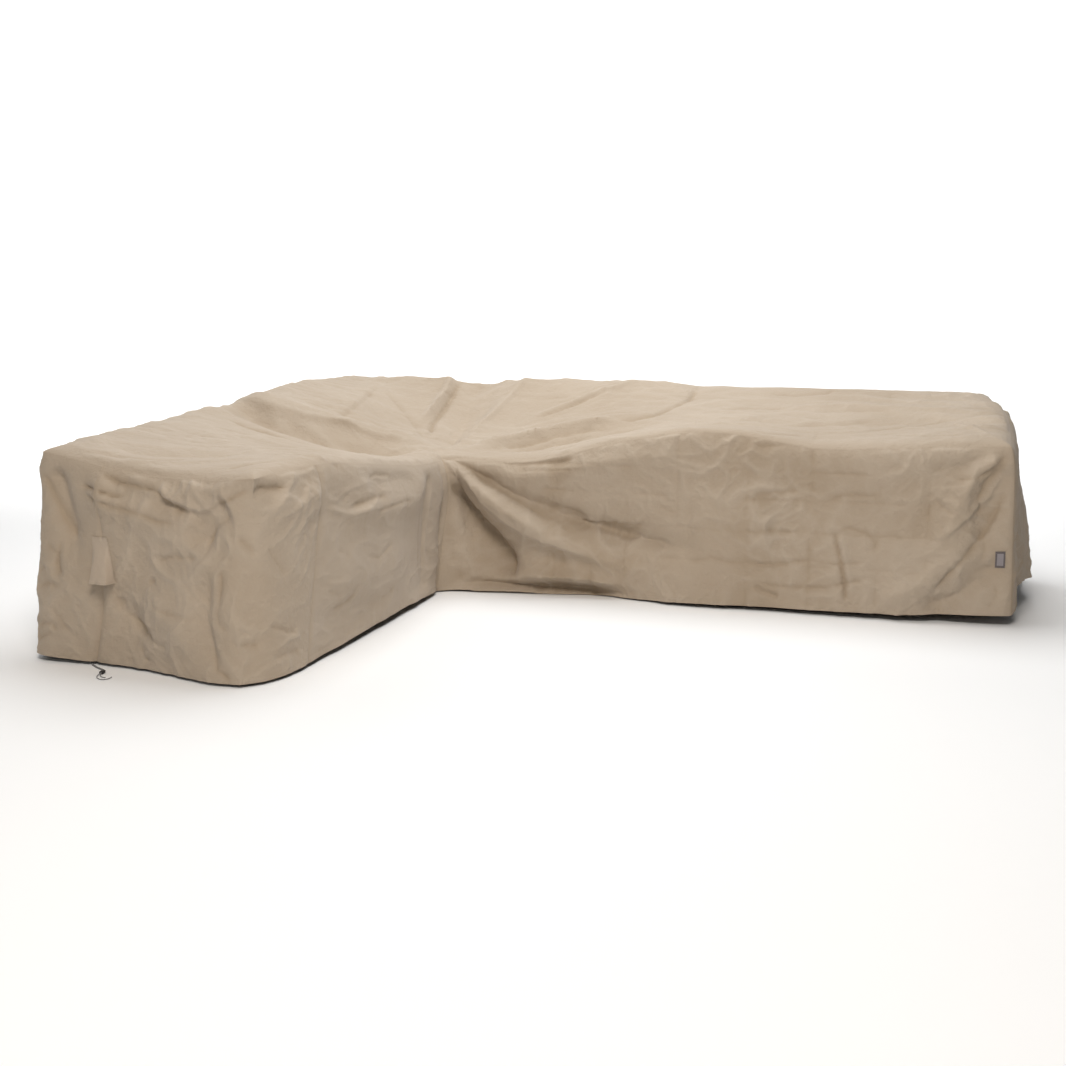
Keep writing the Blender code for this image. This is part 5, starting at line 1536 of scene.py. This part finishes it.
class Finish:
    """A material with one Principled shader, and the one way in which its nodes are made."""

    def __init__(self, name, **constants):
        self.material = bpy.data.materials.new(name)
        self.material.use_nodes = True
        self.tree = self.material.node_tree
        self.shader = self.tree.nodes["Principled BSDF"]
        for socket, value in constants.items():
            self.shader.inputs[socket.replace("_", " ")].default_value = value

    def node(self, kind, settings=None, values=None, output=0):
        """Any node: its type without ShaderNode, its settings, then the values or links of its sockets."""
        made = self.tree.nodes.new("ShaderNode" + kind)
        for name, value in (settings or {}).items():
            setattr(made, name, value)
        for name, value in (values or {}).items():
            self.feed(made.inputs[name], value)
        return Term(self, made.outputs[output])

    def feed(self, socket, value):
        """Links a term to a socket, or sets the socket to a plain value."""
        if isinstance(value, Term):
            self.tree.links.new(value.socket, socket)
        else:
            socket.default_value = value

    def cut(self):
        """The UV as a vector and as its two numbers: metres on the flat cloth, or along and round a cord."""
        uv = self.node("UVMap", {"uv_map": "cut"})
        x = self.node("SeparateXYZ", {}, {"Vector": uv})
        return uv, x, x.output("Y")

    def place(self):
        """The place in space."""
        return self.node("TexCoord", output="Object")

    def mix(self, factor, first, second):
        """Two colours mixed by a factor."""
        return self.node("Mix", {"data_type": "RGBA"}, {0: factor, 6: first, 7: second}, 2)

    def noise(self, vector, scale, detail=2.0, roughness=0.5):
        """Soft noise about a half: the scale is in cells for each unit of the vector."""
        values = {"Vector": vector, "Scale": scale, "Detail": detail, "Roughness": roughness}
        return self.node("TexNoise", {}, values)

    def stretched(self, vector, stretch):
        """A vector multiplied by another, number by number."""
        return self.node("VectorMath", {"operation": "MULTIPLY"}, {0: vector, 1: stretch})

    def bump(self, height, distance, strength=1.0, normal=None):
        """The surface's normal, or another one, bent by the slopes of a height times a distance in metres."""
        values = {"Height": height, "Distance": distance, "Strength": strength}
        if normal is not None:
            values["Normal"] = normal
        return self.node("Bump", {}, values)

    def shade(self, **sockets):
        """Links the shader's own sockets and gives back the material."""
        for name, value in sockets.items():
            self.feed(self.shader.inputs[name.replace("_", " ")], value)
        return self.material


def rgb(red, green, blue):
    """A linear colour with full alpha."""
    return (red, green, blue, 1.0)


print("materials so far:", len(bpy.data.materials))

# %% [markdown]
# ## The cloth
# The cover is a plain weave of coated yarn: each yarn goes over one and under the next. The weave is built
# from two sines. Their signs say which yarn is on top, and the one on top gives the height. The yarns are
# not all of one tone. Over the weave lie a fine crinkle and slow changes of tone. The raised parts of the
# creases are drawn paler, as rubbed wear and a painted highlight, and their hollows deeper, as painted shade.
#
# The same weave has four finishes. The inner wall is seen along its length, where an even crinkle would
# look like upright combing, so its crinkle is lower and drawn out along the wall. The right end and the
# hood have their own tones: the end is drawn darker as painted shade, and the hood is smoother and paler.

# %% Cloth finishes
YARN = 0.0011  # distance between two yarns
PALER = 70.0  # how much paler the cloth is for each metre that it is raised
# painted shade: sunk parts of creases and hollows are drawn deeper
CREASE_SHADE_PAINTED = 85.0  # how much deeper for each metre that it is sunk
# each: the colour, a paler one for rubbed wear and painted highlight, and a deeper one for the yarns, soiling
# and painted shade
PLAIN = (rgb(0.425, 0.342, 0.258), rgb(0.480, 0.400, 0.315), rgb(0.335, 0.252, 0.168))
SMOOTHER = (rgb(0.470, 0.385, 0.300), rgb(0.530, 0.440, 0.350), rgb(0.380, 0.295, 0.215))
# the right end's colours: the same cloth drawn darker, as painted shade
PAINTED_SHADE_END = (rgb(0.370, 0.285, 0.200), rgb(0.420, 0.335, 0.250), rgb(0.290, 0.215, 0.140))


def cloth_finish(name, colour, pale, deep, crinkle_high, stretch=(1.0, 1.0, 1.0)):
    """The weave on the cut's UV, crinkle and soiling on the place in space, and wear, painted highlight and
    shade by the creases.
    """
    finish = Finish(name, IOR=1.45, Sheen_Weight=0.12, Sheen_Roughness=0.5)
    uv, x, y = finish.cut()
    place = finish.place()
    # which yarn is on top, how high it is there, and its own tone along its length
    across = (x * (math.pi / YARN)).sine()
    along = (y * (math.pi / YARN)).sine()
    weft_on_top = (across * along) > 0.0
    crown = abs(across) * (1.0 - weft_on_top) + abs(along) * weft_on_top
    warp_tone = finish.noise(finish.stretched(uv, (1 / YARN, 22.0, 0.0)), 1.0, 1.0)
    weft_tone = finish.noise(finish.stretched(uv, (22.0, 1 / YARN, 0.0)), 1.0, 1.0)
    tone = warp_tone * (1.0 - weft_on_top) + weft_tone * weft_on_top
    # slow and quick changes of tone, the crinkle in two sizes, and the creases' height with painted shade in
    # the hollows
    slow = finish.noise(place, 1.7, 3.0)
    patches = finish.noise(place, 9.0, 4.0, 0.6)
    drawn = finish.stretched(place, stretch)
    crinkle = 1.0 - abs(finish.noise(drawn, 34.0, 3.0, 0.55) * 2.0 - 1.0) * 1.6
    fine = finish.noise(drawn, 120.0, 2.0)
    raised = finish.node("Attribute", {"attribute_name": "raised"}, output="Fac")
    # the colour, from the yarns up
    yarns = finish.mix((tone * 0.9 + crown * 0.25 - 0.1).clamped(), deep, pale)
    ground = finish.mix(0.30, colour, yarns)
    # raised parts paler: rubbed wear and a painted highlight; sunk parts deeper: painted shade in creases and
    # hollows
    rubbed_and_highlit = finish.mix((raised * PALER + (patches - 0.5) * 0.3).clamped(0.0, 0.40), ground, pale)
    sunk = finish.mix((raised * -CREASE_SHADE_PAINTED).clamped(0.0, 0.55), rubbed_and_highlit, deep)
    soiled = finish.mix(((slow - 0.42) * 1.1).clamped(0.0, 0.28), sunk, deep)
    woven = finish.bump(crown, 0.00016, 0.6)
    crinkled = finish.bump(crinkle + fine * 0.25, crinkle_high, 0.5, woven)
    roughness = 0.80 + (patches - 0.5) * 0.16 + (crown - 0.5) * 0.05
    return finish.shade(Base_Color=soiled, Roughness=roughness, Normal=crinkled)


CLOTH = cloth_finish("coated plain weave", *PLAIN, 0.0038)
SMOOTH_CLOTH = cloth_finish("less crinkled weave", *PLAIN, 0.0022, (1.0, 0.36, 1.0))
HOOD_CLOTH = cloth_finish("hood weave", *SMOOTHER, 0.0010)
# painted shade: the right end wall gets the darker copy of the cloth
SHADED_CLOTH = cloth_finish("weave darkened as painted shade", *PAINTED_SHADE_END, 0.0030)
FINISHES = {"wall_inner": SMOOTH_CLOTH, "wall_long_end": SHADED_CLOTH}
print("cloth finish:", len(CLOTH.node_tree.nodes), "nodes")

# %% [markdown]
# ## Tag, thread, cord and lock
# The tag is a dense dark ribbon with a paler field. The thread has a fine grain of fibres. The cord is
# braided of dark fibre, paler where a strand lies on top. The lock is moulded plastic with a faint grain
# and pale scuffs.

# %% The tag's finish
RIBS = (0.0006, 0.00045)  # distance between two ribs of the ribbon, across and along
FIELD_HALF = (0.0115, 0.024)  # half of the pale field's width and length
FIELD_EDGE = 900.0  # how sharp its edge is


def tag_finish():
    """Fine ribs both ways, and a paler field: 1 inside it and 0 on the border."""
    finish = Finish("woven tag", IOR=1.45, Sheen_Weight=0.1)
    uv, x, y = finish.cut()
    ribs = (x * (2 * math.pi / RIBS[0])).sine() * 0.4 + (y * (2 * math.pi / RIBS[1])).sine() * 0.6
    field = ((FIELD_HALF[0] - abs(x - TAG_SIZE[0] / 2)) * FIELD_EDGE).clamped()
    field = field * ((FIELD_HALF[1] - abs(y - TAG_SIZE[1] / 2)) * FIELD_EDGE).clamped()
    flecks = finish.noise(finish.stretched(uv, (900.0, 2600.0, 0.0)), 1.0, 2.0)
    dark = finish.mix(flecks, rgb(0.085, 0.072, 0.074), rgb(0.15, 0.13, 0.13))
    light = finish.mix(flecks, rgb(0.22, 0.195, 0.20), rgb(0.33, 0.30, 0.31))
    return finish.shade(
        Base_Color=finish.mix(field, dark, light),
        Roughness=0.62 + flecks * 0.2,
        Normal=finish.bump(ribs, 0.00012, 0.6),
    )


TAG_WEAVE = tag_finish()
print("tag finish:", len(TAG_WEAVE.node_tree.nodes), "nodes")

# %% The thread's, the cord's and the lock's finish
def thread_finish():
    """Fibres as fine noise, and a slow change of tone along the seams."""
    finish = Finish("sewing thread", IOR=1.5)
    place = finish.place()
    fibre = finish.noise(finish.stretched(place, (900.0, 900.0, 900.0)), 1.0, 2.0)
    slow = finish.noise(place, 6.0, 2.0)
    colour = finish.mix(fibre, rgb(0.30, 0.235, 0.165), rgb(0.43, 0.345, 0.255))
    return finish.shade(
        Base_Color=finish.mix((slow * 0.5).clamped(), colour, rgb(0.33, 0.26, 0.19)),
        Roughness=0.55 + fibre * 0.2,
        Normal=finish.bump(fibre, 0.0001, 0.5),
    )


def cord_finish():
    """Strands that wind both ways like the tube's, but half as fast, and fibres along them."""
    finish = Finish("braided cord", IOR=1.45, Sheen_Weight=0.15)
    uv, x, y = finish.cut()
    spiral = x * (2 * math.pi / BRAID_PITCH)
    turn = y * (2 * math.pi)
    right, left = abs((spiral + turn * 2.0).sine()), abs((turn * 2.0 - spiral).sine())
    fibres = finish.noise(finish.stretched(uv, (2600.0, 40.0, 0.0)), 1.0, 2.0)
    dark = finish.mix(fibres, rgb(0.10, 0.10, 0.105), rgb(0.24, 0.24, 0.245))
    return finish.shade(
        Base_Color=finish.mix((right * left).power(3.0), dark, rgb(0.36, 0.35, 0.34)),
        Roughness=0.72 + fibres * 0.18,
        Normal=finish.bump(fibres + right * left, 0.0002, 0.6),
    )


def lock_finish():
    """Near-black plastic with a fine grain, and scuffs that are drawn out along it."""
    finish = Finish("moulded lock", IOR=1.49)
    place = finish.place()
    grain = finish.noise(place, 2400.0, 2.0)
    scuffs = finish.noise(finish.stretched(place, (300.0, 60.0, 300.0)), 1.0, 3.0)
    return finish.shade(
        Base_Color=finish.mix((scuffs - 0.4).clamped(), rgb(0.016, 0.016, 0.017), rgb(0.075, 0.075, 0.078)),
        Roughness=0.38 + scuffs * 0.25,
        Normal=finish.bump(grain, 0.00006, 0.5),
    )


THREAD_FINISH = thread_finish()
CORD_FINISH = cord_finish()
LOCK_FINISH = lock_finish()
print("materials:", len(bpy.data.materials))

# %% [markdown]
# ## Dressing the frame
# Each new piece gets its finish, rides with the body and stands for its plain solid.

# %% Pieces and their finishes
def dress(piece, finish, slot, *nodes):
    """Puts a finish on a piece, lets it ride on the one body, and hides the nodes that it stands for."""
    piece.data.materials.clear()
    piece.data.materials.append(finish)
    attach(piece, "root")
    if nodes:
        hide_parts(*nodes)


Cut = namedtuple("Cut", "width length area", defaults=(None,))
for name, piece in CLOTH_PIECES.items():
    dress(piece, FINISHES.get(name, CLOTH), "cloth", name)

dress(HOOD_PIECE, HOOD_CLOTH, "hood_cloth", "vent_hood")
dress(TAG_PIECE, TAG_WEAVE, "tag", "woven_tag")
dress(STITCHING, THREAD_FINISH, "cloth")
dress(LOCK_PIECE, LOCK_FINISH, "lock", "cord_lock")
for name, (piece, path) in TAIL_PIECES.items():
    dress(piece, CORD_FINISH, "cord", name)

# %% [markdown]
# ## Floor and light
# The cover stands on a plain white floor that sweeps up behind it. Five soft boxes light it. A large one
# overhead is cool like the sky and ends before the right end, so that end is in shade. A warm one from the
# front opens the walls, and a wide one low in front whitens the floor, from which the walls get much of
# their light. A big one at the left lights the floor and the outer side there. The strongest one is turned
# away from the cover and whitens the backdrop alone. A very weak warm surround keeps the shadows open:
# more of it would flatten the folds.

# %% The sweep
FLOOR_WIDE = 44.0
FLOOR_FRONT = -22.0  # the y of its front edge
SWEEP_FROM = 7.0  # the y at which it starts to rise behind the cover
SWEEP_ROUND = 3.0  # radius of the rise
SWEEP_HIGH = 9.0


def sweep():
    """A profile carried from left to right: level, then a quarter circle, then straight up."""
    turn = np.linspace(0, np.pi / 2, 25)
    y = np.concatenate([[FLOOR_FRONT], SWEEP_FROM + SWEEP_ROUND * np.sin(turn), [SWEEP_FROM + SWEEP_ROUND]])
    z = np.concatenate([[0.0], SWEEP_ROUND * (1 - np.cos(turn)), [SWEEP_HIGH]])
    x = np.linspace(-FLOOR_WIDE / 2, FLOOR_WIDE / 2, 9)
    points = joined(np.repeat(x, len(y)), np.tile(y, len(x)), np.tile(z, len(x)))
    return make_mesh("sweep", points, grid_quads(len(x), len(y)), sharp=30.0)


SWEEP = sweep()
paper = Finish("white paper", IOR=1.4)
paper_tone = paper.noise(paper.place(), 0.6, 2.0)
SWEEP.data.materials.append(paper.shade(
    Base_Color=paper.mix(paper_tone, rgb(0.91, 0.91, 0.91), rgb(0.93, 0.93, 0.93)),
    Roughness=0.85 + paper_tone * 0.1,
))
print("floor and backdrop:", len(SWEEP.data.polygons), "faces")

# %% The lights
def soft_box(name, place, towards, size, power, colour):
    """A rectangular area light at a place of the working frame, facing a second place."""
    data = bpy.data.lights.new(name, "AREA")
    data.shape = "RECTANGLE"
    data.size, data.size_y = size
    data.energy = power
    data.color = colour
    light = add_object(name, data)
    light.location = Vector(place) + Vector(SHIFT)
    light.rotation_euler = (Vector(towards) - Vector(place)).to_track_quat("-Z", "Y").to_euler()


# name, place, what it faces, its size, its power in watts and its colour
soft_box("overhead box", (0.60, 0.6, 3.6), (0.60, 0.6, 0.0), (3.0, 3.4), 118.0, (0.955, 0.98, 1.0))
soft_box("front fill", (1.6, -4.4, 4.4), (0.2, -0.4, 0.3), (2.0, 1.6), 178.0, (1.0, 0.945, 0.88))
soft_box("floor light", (0.4, -6.6, 2.4), (0.4, -6.2, 0.0), (8.0, 1.6), 60.0, (1.0, 0.98, 0.95))
soft_box("side light", (-5.5, 1.5, 4.5), (-5.0, 2.0, 0.0), (5.0, 7.0), 190.0, (1.0, 1.0, 1.0))
soft_box("backdrop light", (-3.5, 3.8, 5.5), (-3.5, 10.0, 2.0), (18.0, 1.5), 1000.0, (1.0, 1.0, 1.0))

world = bpy.data.worlds.new("studio")
world.use_nodes = True
surround = world.node_tree.nodes["Background"].inputs
surround["Color"].default_value = rgb(1.0, 0.975, 0.95)
surround["Strength"].default_value = 0.05
bpy.context.scene.world = world
bpy.context.scene.view_settings.view_transform = "Standard"
print("lights:", ", ".join(light.name for light in bpy.data.lights))
